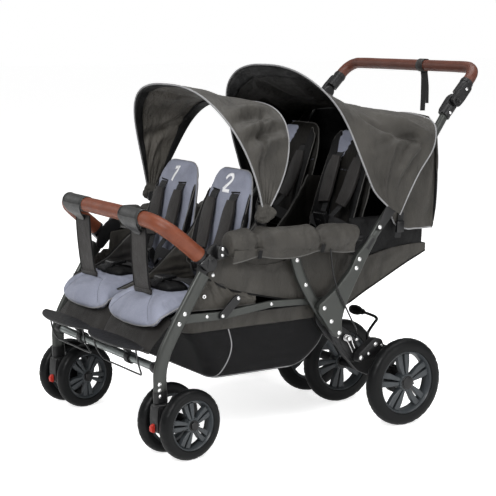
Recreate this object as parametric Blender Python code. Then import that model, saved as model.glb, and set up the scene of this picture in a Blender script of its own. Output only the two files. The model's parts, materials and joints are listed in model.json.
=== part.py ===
"""Four-seat tandem stroller: two seats side by side in front, two behind.

Metres, +Z up. The stroller faces -Y, and +X is the child's left. The origin is on the
floor, under the middle of the whole stroller.
"""
import math

import bmesh
import bpy
from mathutils import Matrix, Vector

# Driving dimensions: planes and lines of the frame
FRAME_X = 0.300          # front legs, arm rails and short legs
FRAME_THICK = 0.017      # thickness of the flat-oval tubes across the stroller
RAIL_X = 0.2857          # seat rails, just inside the legs
UPRIGHT_X = 0.322        # folding uprights, just outside the legs
UPRIGHT_THICK = 0.019
KNUCKLE_X = 0.303        # handle knuckles, where the uprights lean inward
PIVOT_CLEARANCE = 0.0003

# Wheels
FRONT_WHEEL_R = 0.0907
FRONT_HUB_Y = -0.430
FRONT_TWIN_HALF = 0.046
FRONT_TYRE_WIDTH = 0.036
CASTER_Y = -0.487
CASTER_TURN = math.radians(8)
REAR_WHEEL_R = 0.120
REAR_HUB_Y = 0.2266
REAR_OUTER_X = 0.3697
REAR_INNER_X = 0.0735
REAR_TYRE_WIDTH = 0.042
AXLE_R = 0.006

# Joints and pivots, as (y, z) in the side view
FOLD_PIVOT = (0.013, 0.304)
LEG_TOP = (-0.345, 0.487)
KNUCKLE = (0.443, 0.872)
HANDLE_BAR = (0.529, 0.962)
SUSPENSION_PIVOT = (0.107, 0.193)
PEDAL_PIVOT = (0.268, 0.187)
CROSSBAR = (-0.487, 0.232)
FRONT_HOOD_HUB = (-0.185, 0.586)
REAR_HOOD_HUB = (0.165, 0.545)
FRONT_RECLINE = (-0.214, 0.405)
REAR_RECLINE = (0.166, 0.482)

ORIGIN_SHIFT = 0.014     # brings the middle of the overall length to the origin

# Upholstery
SEAT_HALF_GAP = 0.012
SEAT_WIDTH = 0.258
ARM_RAIL_Z = 0.512
ARM_RAIL_R = 0.010
ROLL_CENTRE = (0.302, 0.527)
CLOTH = 0.004

DEG = math.pi / 180


# Helpers

def clear_scene():
    for obj in list(bpy.data.objects):
        bpy.data.objects.remove(obj, do_unlink=True)


def material(name, color, roughness, metallic=0.0):
    mat = bpy.data.materials.new(name)
    mat.use_nodes = True
    shader = mat.node_tree.nodes["Principled BSDF"]
    shader.inputs["Base Color"].default_value = (*color, 1.0)
    shader.inputs["Roughness"].default_value = roughness
    shader.inputs["Metallic"].default_value = metallic
    return mat


def object_from(bm, name, mat=None, smooth_angle=35):
    """Closes a bmesh into an object whose faces all point outward."""
    bmesh.ops.remove_doubles(bm, verts=bm.verts, dist=1e-6)
    bmesh.ops.recalc_face_normals(bm, faces=bm.faces)
    mesh = bpy.data.meshes.new(name)
    bm.to_mesh(mesh)
    bm.free()
    mesh.shade_smooth()
    mesh.set_sharp_from_angle(angle=smooth_angle * DEG)
    if mat:
        mesh.materials.append(mat)
    obj = bpy.data.objects.new(name, mesh)
    bpy.context.collection.objects.link(obj)
    return obj


def baked(obj):
    """The object's mesh with its modifiers applied; the object itself is removed."""
    graph = bpy.context.evaluated_depsgraph_get()
    mesh = bpy.data.meshes.new_from_object(obj.evaluated_get(graph))
    bpy.data.objects.remove(obj, do_unlink=True)
    return mesh


def combine(base, others, operation):
    """Joins or cuts the base object with each of the others, which are used up."""
    name = base.name
    for other in others:
        boolean = base.modifiers.new("combine", "BOOLEAN")
        boolean.operation = operation
        boolean.solver = "EXACT"
        boolean.object = other
        mesh = baked(base)
        bpy.data.objects.remove(other, do_unlink=True)
        mesh.shade_smooth()
        mesh.set_sharp_from_angle(angle=35 * DEG)
        base = bpy.data.objects.new(name, mesh)
        bpy.context.collection.objects.link(base)
    base.data.name = name
    return base


def paint(obj, mat):
    obj.data.materials.clear()
    obj.data.materials.append(mat)
    return obj


def smooth_path(points, count):
    """A smooth curve through the points, read at evenly spread steps."""
    pts = [Vector(p) for p in points]
    ends = [2 * pts[0] - pts[1]] + pts + [2 * pts[-1] - pts[-2]]
    spans = len(pts) - 1
    path = []
    for i in range(count + 1):
        at = i * spans / count
        k = min(int(at), spans - 1)
        t = at - k
        a, b, c, d = ends[k:k + 4]
        path.append(0.5 * ((2 * b) + (c - a) * t + (2 * a - 5 * b + 4 * c - d) * t * t
                           + (3 * b - a - 3 * c + d) * t ** 3))
    return path


def ellipse(half_u, half_v, sides):
    """A closed section: u lies across the sweep's side direction, v along it."""
    steps = [2 * math.pi * (i + 0.5) / sides for i in range(sides)]
    return [(half_u * math.cos(a), half_v * math.sin(a)) for a in steps]


def sweep(path, sections, side=Vector((1, 0, 0)), closed=False):
    """Lofts rings along a path. A section is a list of (u, v): v along side, u square to it."""
    pts = [Vector(p) for p in path]
    if isinstance(sections[0][0], (int, float)):
        sections = [sections] * len(pts)
    bm = bmesh.new()
    rings = []
    for i, (at, section) in enumerate(zip(pts, sections)):
        before = pts[i - 1] if i or closed else at
        after = pts[(i + 1) % len(pts)] if i + 1 < len(pts) or closed else at
        along = (after - before).normalized()
        flat = (side - along * side.dot(along)).normalized()
        across = along.cross(flat)
        rings.append([bm.verts.new(at + across * u + flat * v) for u, v in section])
    loops = []
    for ring in rings:
        loops.append([bm.edges.new((ring[k - 1], ring[k])) for k in range(len(ring))])
    pairs = list(zip(loops, loops[1:])) + ([(loops[-1], loops[0])] if closed else [])
    for first, second in pairs:
        bmesh.ops.bridge_loops(bm, edges=first + second)
    if not closed:
        for ring in (rings[0], rings[-1]):
            bm.faces.new(ring)
    return bm


def turned(profile, steps, centre=(0, 0, 0)):
    """Spins a closed profile of (along, radius) points about an axis along X."""
    bm = bmesh.new()
    verts = [bm.verts.new((a, 0, -r)) for a, r in profile]
    edges = [bm.edges.new((verts[k - 1], verts[k])) for k in range(len(verts))]
    bmesh.ops.spin(bm, geom=verts + edges, cent=(0, 0, 0), axis=(1, 0, 0),
                   angle=2 * math.pi, steps=steps, use_merge=True)
    bmesh.ops.remove_doubles(bm, verts=bm.verts, dist=1e-6)
    loose = [e for e in bm.edges if not e.link_faces]
    bmesh.ops.delete(bm, geom=loose, context="EDGES")
    bmesh.ops.translate(bm, verts=bm.verts, vec=centre)
    return bm


def plate(outline, x_low, x_high, bevel=0.0):
    """A side-view outline of (y, z) points, given its thickness along X."""
    bm = bmesh.new()
    base = [bm.verts.new((x_low, y, z)) for y, z in outline]
    face = bm.faces.new(base)
    up = bmesh.ops.extrude_face_region(bm, geom=[face])
    top = [v for v in up["geom"] if isinstance(v, bmesh.types.BMVert)]
    bmesh.ops.translate(bm, verts=top, vec=(x_high - x_low, 0, 0))
    if bevel:
        rims = [e for e in bm.edges if abs(e.verts[0].co.x - e.verts[1].co.x) < 1e-9]
        bmesh.ops.bevel(bm, geom=rims, offset=bevel, segments=1, profile=0.5,
                        affect="EDGES", material=-1)
    return bm


def rounded(points, radius=0.004, steps=2):
    """Rounds the corners of a closed outline of (y, z) points with short arcs."""
    out = []
    for k, point in enumerate(points):
        here = Vector(point)
        before = (Vector(points[k - 1]) - here)
        after = (Vector(points[(k + 1) % len(points)]) - here)
        reach = min(radius, before.length * 0.45, after.length * 0.45)
        start = here + before.normalized() * reach
        end = here + after.normalized() * reach
        for i in range(steps + 1):
            t = i / steps
            out.append(tuple((1 - t) ** 2 * start + 2 * t * (1 - t) * here + t * t * end))
    return out


def disc(y, z, radius, x_low, x_high, sides=16):
    """A round boss or pin along X."""
    profile = [(x_low, 0), (x_low, radius), (x_high, radius), (x_high, 0)]
    return turned(profile, sides, centre=(0, y, z))


def mirrored(obj, name):
    """The same piece on the other side of the stroller."""
    mesh = obj.data.copy()
    mesh.name = name
    mesh.transform(Matrix.Scale(-1, 4, (1, 0, 0)))
    mesh.flip_normals()
    twin = bpy.data.objects.new(name, mesh)
    bpy.context.collection.objects.link(twin)
    return twin


def pair(obj, stem):
    """Names the near piece left and adds its mirror image as right."""
    obj.name = stem + "_left"
    return obj, mirrored(obj, stem + "_right")


def placed(obj, pivot):
    """Moves the object's origin to its joint without moving the shape."""
    pivot = Vector(pivot)
    obj.data.transform(Matrix.Translation(-pivot))
    obj.location = pivot
    return obj


# Materials

PAINT = (0.070, 0.078, 0.072)
CLOTH_BROWN = (0.085, 0.076, 0.065)
PAD_GREY = (0.26, 0.27, 0.34)


def make_materials():
    return {
        "frame": material("frame_paint", PAINT, 0.38, 0.6),
        "plastic": material("black_plastic", (0.012, 0.012, 0.013), 0.42),
        "rim": material("rim_plastic", (0.060, 0.066, 0.070), 0.45),
        "tyre": material("tyre_rubber", (0.012, 0.012, 0.013), 0.55),
        "steel": material("bright_steel", (0.62, 0.62, 0.62), 0.25, 1.0),
        "leather": material("tan_leatherette", (0.28, 0.085, 0.038), 0.5),
        "shell": material("brown_cloth", CLOTH_BROWN, 0.8),
        "pad": material("grey_pad", PAD_GREY, 0.85),
        "dark": material("black_cloth", (0.015, 0.015, 0.016), 0.85),
    }


# Wheels

SPOKES = 5
WHEEL_STEPS = 25


def spoke_window(inner, outer, half_inner, half_outer, turn, length):
    """A cutter along X: a tapered opening with round ends, turned about the hub."""
    arc = 2 if half_outer > 0.1 else 1
    points = []
    for k in range(arc + 1):
        a = -half_outer + 2 * half_outer * k / arc
        points.append((outer * math.cos(a), outer * math.sin(a)))
    for a in (half_inner, -half_inner):
        points.append((inner * math.cos(a), inner * math.sin(a)))
    turned_points = [(y * math.cos(turn) - z * math.sin(turn),
                      y * math.sin(turn) + z * math.cos(turn)) for y, z in points]
    return object_from(plate(turned_points, -length, length), "window")


def rim_face(radius, width):
    """The rim's own part of the profile, from the outer bead round the hub to the inner bead."""
    bead = radius * 0.713
    half = width * 0.40
    hub = radius * 0.185
    bore = AXLE_R + PIVOT_CLEARANCE
    web_in, web_out = -0.003, 0.009
    return [(web_out, bead - 0.009), (web_out - 0.001, hub + 0.006), (half + 0.002, hub),
            (half + 0.002, bore), (-half - 0.002, bore), (web_in, hub + 0.004),
            (web_in, bead - 0.009)]


def tyre_face(radius, width):
    """The tyre's round shoulders and tread, from the inner side to the outer side."""
    half = width / 2
    return [(-half, radius * 0.80), (-half * 0.86, radius * 0.93), (-half * 0.36, radius),
            (half * 0.36, radius), (half * 0.86, radius * 0.93), (half, radius * 0.80)]


def cut_spokes(rim, radius):
    """Opens five wide windows and the slots that split the spokes between them."""
    bead = radius * 0.713
    inner = radius * 0.185 + 0.0085
    outer = bead - 0.0105
    for k in range(SPOKES):
        turn = 2 * math.pi * k / SPOKES + math.pi / 2
        big = spoke_window(inner, outer, 0.17, 0.36, turn + math.pi / SPOKES, 0.03)
        slot = spoke_window(inner + 0.008, outer - 0.004, 0.055, 0.045, turn, 0.03)
        rim = combine(rim, [big, slot], "DIFFERENCE")
    return rim


def moulded_wheel(radius, width):
    """Rim and tyre moulded in one, for the swivel casters."""
    bead = radius * 0.713
    half = width / 2
    profile = tyre_face(radius, width) + [(half * 0.84, bead)] + rim_face(radius, width)
    profile += [(-half * 0.84, bead - 0.003)]
    return cut_spokes(object_from(turned(profile, WHEEL_STEPS), "wheel"), radius)


def rim(radius, width):
    bead = radius * 0.713
    half = width * 0.40
    profile = [(-half, bead - 0.0075), (-half, bead), (half, bead), (half, bead - 0.0045)]
    return cut_spokes(object_from(turned(profile + rim_face(radius, width), WHEEL_STEPS), "rim"), radius)


def tyre(radius, width):
    """A tyre that sits on the rim's barrel."""
    bead = radius * 0.713 + PIVOT_CLEARANCE
    half = width / 2
    profile = tyre_face(radius, width) + [(half * 0.86, bead), (-half * 0.86, bead)]
    return object_from(turned(profile, WHEEL_STEPS), "tyre")


def place_copy(mesh, name, mat, matrix):
    obj = bpy.data.objects.new(name, mesh)
    bpy.context.collection.objects.link(obj)
    if not mesh.materials:
        mesh.materials.append(mat)
    obj.matrix_world = matrix
    return obj


def make_wheels(mats):
    front = moulded_wheel(FRONT_WHEEL_R, FRONT_TYRE_WIDTH)
    rear = rim(REAR_WHEEL_R, REAR_TYRE_WIDTH)
    rubber = tyre(REAR_WHEEL_R, REAR_TYRE_WIDTH)
    front_mesh, rear_rim, rear_tyre = front.data, rear.data, rubber.data
    for used in (front, rear, rubber):
        bpy.data.objects.remove(used, do_unlink=True)
    for side, word in ((1, "left"), (-1, "right")):
        swivel = Matrix.Translation((side * FRAME_X, CASTER_Y, 0)) @ Matrix.Rotation(CASTER_TURN, 4, "Z")
        for offset, place in ((FRONT_TWIN_HALF, "outer"), (-FRONT_TWIN_HALF, "inner")):
            at = Matrix.Translation((side * offset, FRONT_HUB_Y - CASTER_Y, FRONT_WHEEL_R))
            face = Matrix.Rotation(0 if side * offset > 0 else math.pi, 4, "Z")
            place_copy(front_mesh, f"front_wheel_{word}_{place}", mats["rim"], swivel @ at @ face)
        for x, place in ((REAR_OUTER_X, "outer"), (REAR_INNER_X, "inner")):
            at = Matrix.Translation((side * x, REAR_HUB_Y, REAR_WHEEL_R))
            face = Matrix.Rotation(0 if side > 0 else math.pi, 4, "Z")
            place_copy(rear_rim, f"rear_rim_{word}_{place}", mats["rim"], at @ face)
            place_copy(rear_tyre, f"rear_tyre_{word}_{place}", mats["tyre"], at @ face)


# Swivel casters

def make_casters(mats):
    """A trailing fork between the twin wheels, with its axle and stem collar."""
    hub = FRONT_HUB_Y - CASTER_Y
    low = FRONT_WHEEL_R
    outline = rounded([(-0.021, 0.146), (-0.024, 0.110), (-0.022, 0.074), (0.004, 0.062),
                       (hub - 0.006, low - 0.019), (hub + 0.019, low - 0.010),
                       (hub + 0.021, low + 0.010), (hub + 0.004, low + 0.022),
                       (0.024, 0.128), (0.021, 0.146)], 0.008, 1)
    fork = object_from(plate(outline, -0.017, 0.017, 0.002), "fork")
    axle_profile = [(-0.0685, 0), (-0.0685, 0.011), (-0.0655, 0.011), (-0.0655, AXLE_R),
                    (-0.024, AXLE_R), (-0.024, 0.010), (0.024, 0.010), (0.024, AXLE_R),
                    (0.0655, AXLE_R), (0.0655, 0.011), (0.0685, 0.011), (0.0685, 0)]
    axle = object_from(turned(axle_profile, 10, (0, hub, low)), "axle")
    fork = combine(fork, [axle], "UNION")
    paint(fork, mats["plastic"])
    mesh = fork.data
    bpy.data.objects.remove(fork, do_unlink=True)
    for side, word in ((1, "left"), (-1, "right")):
        swivel = Matrix.Translation((side * FRAME_X, CASTER_Y, 0)) @ Matrix.Rotation(CASTER_TURN, 4, "Z")
        place_copy(mesh, f"caster_fork_{word}", mats["plastic"], swivel)


# Frame tubes

def side_path(points, count, x=FRAME_X):
    return smooth_path([(x, y, z) for y, z in points], count)


def make_front_legs(mats):
    points = [(-0.487, 0.150), (-0.488, 0.190), (-0.487, 0.228), (-0.475, 0.270),
              (-0.456, 0.307), (-0.433, 0.347), (-0.404, 0.393), (-0.374, 0.440), (-0.3605, 0.461)]
    leg = sweep(side_path(points, 13), ellipse(0.018, FRAME_THICK / 2, 8))
    for obj in pair(object_from(leg, "leg", mats["frame"]), "front_leg"):
        placed(obj, (0, CASTER_Y, 0.150))


def make_arm_rails(mats):
    """The arm rail hidden in the padded roll, with the black joint on the leg's top."""
    points = [(-0.310, 0.508), (-0.290, ARM_RAIL_Z), (-0.10, ARM_RAIL_Z), (0.130, ARM_RAIL_Z + 0.004)]
    rail = object_from(sweep(side_path(points, 3), ellipse(ARM_RAIL_R, ARM_RAIL_R, 10)), "rail")
    joint = rounded([(-0.372, 0.455), (-0.355, 0.446), (-0.325, 0.478), (-0.296, 0.500),
                     (-0.296, 0.522), (-0.318, 0.535), (-0.340, 0.522), (-0.366, 0.490)], 0.008, 1)
    cheek = object_from(plate(joint, 0.2795, 0.2868, 0.001), "cheek")
    knee = rounded([(-0.322, 0.494), (-0.296, 0.499), (-0.296, 0.523), (-0.316, 0.533),
                    (-0.324, 0.516)], 0.005, 1)
    cap = object_from(plate(knee, 0.2855, 0.309, 0.002), "cap")
    rail = combine(rail, [cap, cheek], "UNION")
    pair(paint(rail, mats["plastic"]), "arm_rail")


def make_short_legs(mats):
    points = [(-0.0885, 0.4960), (-0.081, 0.470), (-0.066, 0.428), (-0.043, 0.385),
              (-0.014, 0.341), (0.020, 0.296)]
    leg = sweep(side_path(points, 8), ellipse(0.0145, FRAME_THICK / 2, 8))
    pair(object_from(leg, "leg", mats["frame"]), "short_leg")


def make_seat_rails(mats):
    """Flat rail from the front leg to the rear bracket, with its folding link."""
    outline = rounded([(-0.449, 0.338), (-0.30, 0.336), (-0.15, 0.352), (0.035, 0.345),
                       (0.035, 0.361), (-0.15, 0.370), (-0.30, 0.357), (-0.441, 0.362)], 0.008, 1)
    rail = object_from(plate(outline, RAIL_X - 0.005, RAIL_X + 0.005, 0.001), "rail")
    link_outline = rounded([(-0.311, 0.338), (-0.293, 0.338), (-0.247, 0.383),
                            (-0.252, 0.399), (-0.266, 0.395), (-0.311, 0.353)], 0.006, 1)
    link = object_from(plate(link_outline, RAIL_X + 0.003, RAIL_X + 0.012, 0.001), "link")
    rail = combine(rail, [link], "UNION")
    pair(paint(rail, mats["frame"]), "seat_rail")


def make_crossbar(mats):
    inner = FRAME_X - FRAME_THICK / 2 - PIVOT_CLEARANCE
    y, z = CROSSBAR
    bar = disc(y, z, 0.0105, -inner, inner, 14)
    object_from(bar, "front_crossbar", mats["frame"])


def upright_outline():
    """The formed plate at the foot of the folding upright, in side view."""
    return rounded([(0.030, 0.256), (0.050, 0.262), (0.047, 0.300), (0.062, 0.345),
                    (0.098, 0.410), (0.128, 0.462), (0.163, 0.515), (0.147, 0.528),
                    (0.094, 0.473), (0.078, 0.440), (0.030, 0.392), (-0.026, 0.352),
                    (-0.029, 0.334), (0.012, 0.276)], 0.014, 2)


def upright_tube(grow=0.0, extra=()):
    """The tube from the foot plate to the knuckle, leaning inward at the top."""
    path = smooth_path([(UPRIGHT_X, 0.140, 0.503), (UPRIGHT_X, 0.190, 0.566),
                        (UPRIGHT_X, 0.253, 0.642), (UPRIGHT_X - 0.001, 0.296, 0.695),
                        (KNUCKLE_X + 0.006, 0.367, 0.782), (KNUCKLE_X, 0.4095, 0.8350)], 7)
    section = ellipse(0.0125 + grow, UPRIGHT_THICK / 2 - 0.0004 + grow, 10)
    return object_from(sweep(path + [Vector(p) for p in extra], section), "tube")


def make_uprights(mats):
    """Folding uprights: a plate pivoted at the foot and a tube up to the handle."""
    low, high = UPRIGHT_X - UPRIGHT_THICK / 2, UPRIGHT_X + UPRIGHT_THICK / 2
    foot = object_from(plate(upright_outline(), low, high, 0.0035), "foot")
    upright = combine(foot, [upright_tube()], "UNION")
    for y, z in (FOLD_PIVOT, (0.103, 0.463), (0.100, 0.436)):
        rivet = object_from(disc(y, z, 0.0045, high - 0.002, high + 0.0018, 6), "rivet")
        upright = combine(upright, [rivet], "UNION")
    for obj in pair(paint(upright, mats["frame"]), "handle_upright"):
        placed(obj, (0, *FOLD_PIVOT))


# Handle

def along_handle(distance, across=0.0):
    """A side-view point measured from the knuckle's pivot along the handle's slope."""
    slope = math.atan2(HANDLE_BAR[1] - KNUCKLE[1], HANDLE_BAR[0] - KNUCKLE[0])
    y = KNUCKLE[0] + distance * math.cos(slope) - across * math.sin(slope)
    z = KNUCKLE[1] + distance * math.sin(slope) + across * math.cos(slope)
    return y, z


def make_handle(mats):
    """Knuckles, their release buttons, the clamps and the padded handle bar."""
    base_outline = rounded([along_handle(-0.054, -0.016), along_handle(-0.010, -0.021),
                            along_handle(0.017, -0.013), along_handle(0.019, 0.011),
                            along_handle(-0.002, 0.021), along_handle(-0.054, 0.016)], 0.010, 2)
    base = object_from(plate(base_outline, KNUCKLE_X - 0.015, KNUCKLE_X + 0.001, 0.0025), "base")
    sleeve_path = [(KNUCKLE_X, *along_handle(-0.0545, 0)), (KNUCKLE_X, *along_handle(-0.024, 0))]
    sleeve = object_from(sweep(sleeve_path, ellipse(0.0165, 0.0145, 10)), "sleeve")
    base = combine(base, [sleeve], "UNION")
    socket = upright_tube(0.0005, [(KNUCKLE_X, 0.4115, 0.8373)])
    base = combine(base, [socket], "DIFFERENCE")
    for obj in pair(paint(base, mats["plastic"]), "knuckle_base"):
        placed(obj, (0, *KNUCKLE))

    clamp_outline = rounded([along_handle(-0.014, -0.015), along_handle(0.012, -0.018),
                             along_handle(0.062, -0.015), along_handle(0.062, 0.015),
                             along_handle(0.012, 0.018), along_handle(-0.014, 0.015)], 0.010, 1)
    clamp = object_from(plate(clamp_outline, KNUCKLE_X + 0.0015, KNUCKLE_X + 0.016, 0.0025), "clamp")
    socket_path = [(KNUCKLE_X - 0.003, *along_handle(0.022, 0)),
                   (KNUCKLE_X - 0.004, *along_handle(0.068, 0))]
    socket = object_from(sweep(socket_path, ellipse(0.017, 0.0165, 10)), "socket")
    clamp = combine(clamp, [socket], "UNION")
    seat = object_from(disc(*KNUCKLE, 0.0085, KNUCKLE_X + 0.012, KNUCKLE_X + 0.02, 12), "seat")
    clamp = combine(clamp, [seat], "DIFFERENCE")
    for obj in pair(paint(clamp, mats["plastic"]), "handle_clamp"):
        placed(obj, (0, *KNUCKLE))

    button = disc(*KNUCKLE, 0.0080, KNUCKLE_X + 0.0155, KNUCKLE_X + 0.0195, 12)
    for obj in pair(object_from(button, "button", mats["plastic"]), "knuckle_button"):
        placed(obj, (math.copysign(KNUCKLE_X, 1 if "left" in obj.name else -1), *KNUCKLE))

    ends = KNUCKLE_X - 0.004
    half = [(ends, *along_handle(0.0685)), (ends - 0.001, *along_handle(0.088)),
            (ends - 0.010, *along_handle(0.107)), (ends - 0.030, *along_handle(0.120)),
            (ends - 0.060, *along_handle(0.1235)), (0.12, *along_handle(0.124))]
    route = half + [(0, *along_handle(0.124))] + [(-x, y, z) for x, y, z in reversed(half)]
    path = smooth_path(route, 24)
    grip = sweep(path, ellipse(0.0165, 0.0165, 10), side=Vector((0, -0.7, 0.7)))
    placed(object_from(grip, "handle_grip", mats["leather"]), (0, *KNUCKLE))


# Bumper bar

def make_bumper(mats):
    ends = [(0.290, -0.3625, 0.5040), (0.290, -0.397, 0.533), (0.285, -0.435, 0.565),
            (0.263, -0.463, 0.588), (0.217, -0.472, 0.597), (0.10, -0.474, 0.600)]
    route = ends + [(0, -0.474, 0.600)] + [(-x, y, z) for x, y, z in reversed(ends)]
    path = smooth_path(route, 24)
    bar = sweep(path, ellipse(0.0198, 0.0198, 10), side=Vector((0, -0.8, -0.6)))
    placed(object_from(bar, "bumper_bar", mats["leather"]), (0, *LEG_TOP))
    y, z = LEG_TOP
    outline = [(y + 0.0205 * math.cos(a * DEG), z + 0.0205 * math.sin(a * DEG))
               for a in range(-120, 61, 30)]
    outline += [(y - 0.002, z + 0.026), (y - 0.030, z + 0.0015)]
    clip = object_from(plate(rounded(outline, 0.004, 1), 0.2875, 0.3095, 0.0025), "clip")
    for obj in pair(paint(clip, mats["plastic"]), "bumper_clip"):
        placed(obj, (0, *LEG_TOP))


# Rear axle, suspension and brake

def make_rear_brackets(mats):
    outline = rounded([(0.036, 0.302), (0.062, 0.282), (0.092, 0.262), (0.131, 0.203),
                       (0.122, 0.178), (0.094, 0.176), (0.060, 0.216), (0.022, 0.270)], 0.010, 1)
    bracket = object_from(plate(outline, 0.2915, 0.3085, 0.002), "bracket")
    inner = rounded([(-0.004, 0.330), (0.034, 0.338), (0.066, 0.288), (0.090, 0.256),
                     (0.060, 0.222), (0.016, 0.262), (-0.012, 0.300)], 0.010, 1)
    cheek = object_from(plate(inner, 0.2809, 0.2926, 0.001), "cheek")
    cut = object_from(plate([(-0.03, 0.26), (0.045, 0.31), (0.02, 0.36), (-0.06, 0.33)],
                            0.2911, 0.2935), "cut")
    bracket = combine(bracket, [cheek], "UNION")
    bracket = combine(bracket, [cut], "DIFFERENCE")
    washer = object_from(disc(*SUSPENSION_PIVOT, 0.010, 0.2845, 0.2925, 10), "washer")
    pin = object_from(disc(0.075, 0.249, 0.0048, 0.306, 0.3290, 8), "pin")
    bracket = combine(bracket, [washer, pin], "UNION")
    pair(paint(bracket, mats["plastic"]), "rear_bracket")


def spring_route():
    """Wire of the torsion spring: one leg, its turns round the pin, the other leg."""
    y, z = 0.075, 0.249
    radius, steps = 0.0078, 9
    start, end = 0.3116, 0.3250
    count = 24
    coil = []
    for i in range(count + 1):
        a = (-100 - 360 * i / steps) * DEG
        coil.append((start + (end - start) * i / count, y + radius * math.cos(a), z + radius * math.sin(a)))
    first_leg = [(start, 0.098, 0.206), (start, 0.088, 0.2255), (start, 0.0810, 0.2370)]
    last_leg = [(end, 0.0850, 0.2440), (end, 0.0885, 0.2335), (end, 0.0945, 0.2205)]
    return first_leg + coil + last_leg


def make_springs(mats):
    spring = sweep(spring_route(), ellipse(0.0014, 0.0014, 5), side=Vector((1, 0, 0)))
    pair(object_from(spring, "spring", mats["steel"]), "torsion_spring")


def make_rear_axle(mats):
    """Axle through all four rear wheels, on two trailing arms with brake plates."""
    stub = REAR_TYRE_WIDTH / 2 + 0.001
    outer, inner = REAR_OUTER_X, REAR_INNER_X
    tube_r, cap_r = 0.0125, 0.0155
    half = [(0, tube_r), (inner - stub, tube_r), (inner - stub, AXLE_R), (inner + stub, AXLE_R),
            (inner + stub, tube_r), (outer - stub - 0.004, tube_r), (outer - stub - 0.004, AXLE_R),
            (outer + 0.0195, AXLE_R), (outer + 0.0195, cap_r), (outer + 0.0225, cap_r), (outer + 0.0225, 0)]
    profile = half[1:] + [(-x, r) for x, r in reversed(half[1:])]
    axle = object_from(turned(profile, 10, (0, REAR_HUB_Y, REAR_WHEEL_R)), "axle")
    y, z = SUSPENSION_PIVOT
    arm_outline = rounded([(y - 0.014, z - 0.004), (y - 0.008, z + 0.013), (y + 0.012, z + 0.012),
                           (y + 0.062, z - 0.018), (PEDAL_PIVOT[0] + 0.004, PEDAL_PIVOT[1] + 0.014),
                           (PEDAL_PIVOT[0] + 0.014, PEDAL_PIVOT[1] - 0.008),
                           (REAR_HUB_Y + 0.020, REAR_WHEEL_R - 0.006), (REAR_HUB_Y, REAR_WHEEL_R - 0.019),
                           (REAR_HUB_Y - 0.018, REAR_WHEEL_R - 0.010), (y + 0.030, z - 0.050),
                           (y, z - 0.018)], 0.007, 1)
    brake_outline = rounded([(y - 0.010, z - 0.010), (y + 0.014, z - 0.012), (y + 0.080, z + 0.020),
                             (y + 0.070, z + 0.046), (y + 0.044, z + 0.050), (y - 0.006, z + 0.014)],
                            0.006, 1)
    for side in (1, -1):
        arm = object_from(plate(arm_outline, 0.262, 0.2840), "arm")
        joggle = object_from(plate(rounded([(y + 0.040, z - 0.008), (y + 0.076, z - 0.012),
                                            (y + 0.078, z + 0.022), (y + 0.046, z + 0.024)], 0.005, 1),
                                   0.275, 0.325), "joggle")
        brake = object_from(plate(brake_outline, 0.3140, 0.3380, 0.002), "brake")
        arm = combine(arm, [joggle, brake], "UNION")
        if side < 0:
            twin = mirrored(arm, "arm_right")
            bpy.data.objects.remove(arm, do_unlink=True)
            arm = twin
        axle = combine(axle, [arm], "UNION")
    axle.name = "rear_axle"
    placed(paint(axle, mats["plastic"]), (0, *SUSPENSION_PIVOT))


def make_brake_pedal(mats):
    """Cranked rod with a rubber foot pad, turning on the trailing arm."""
    y, z = PEDAL_PIVOT
    top_y, top_z = 0.297, 0.252
    route = [(0.2612, y, z), (0.215, y, z), (0.163, y, z), (0.149, y + 0.003, z + 0.006),
             (0.143, y + 0.010, z + 0.022), (0.151, top_y - 0.008, top_z - 0.020),
             (0.158, top_y - 0.001, top_z - 0.005), (0.150, top_y, top_z + 0.001),
             (0.134, top_y, top_z + 0.003), (0.0905, top_y + 0.001, top_z + 0.005)]
    rod = sweep(smooth_path(route, 18), ellipse(0.0042, 0.0042, 7), side=Vector((0, -0.9, 0.43)))
    placed(object_from(rod, "brake_pedal_rod", mats["plastic"]), (0, y, z))
    knob = [(0.028, 0), (0.030, 0.0075), (0.038, 0.0125), (0.052, 0.0145), (0.066, 0.0135),
            (0.078, 0.0095), (0.090, 0.0085), (0.090, 0)]
    pad = turned(knob, 10, (0, top_y + 0.001, top_z + 0.005))
    placed(object_from(pad, "brake_pedal_pad", mats["tyre"]), (0, y, z))


def make_brake_cable(mats):
    x = 0.3368
    route = [(x, 0.004, 0.500), (x, 0.008, 0.470), (x, 0.013, 0.437), (x, 0.024, 0.400),
             (x, 0.040, 0.365), (x, 0.058, 0.333), (x, 0.076, 0.300), (x - 0.001, 0.089, 0.279),
             (0.326, 0.099, 0.262), (0.316, 0.104, 0.252), (0.3092, 0.106, 0.248)]
    bm = sweep(smooth_path(route, 20), ellipse(0.0023, 0.0023, 5))
    object_from(bm, "brake_cable", mats["plastic"])


# Footrest

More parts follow.
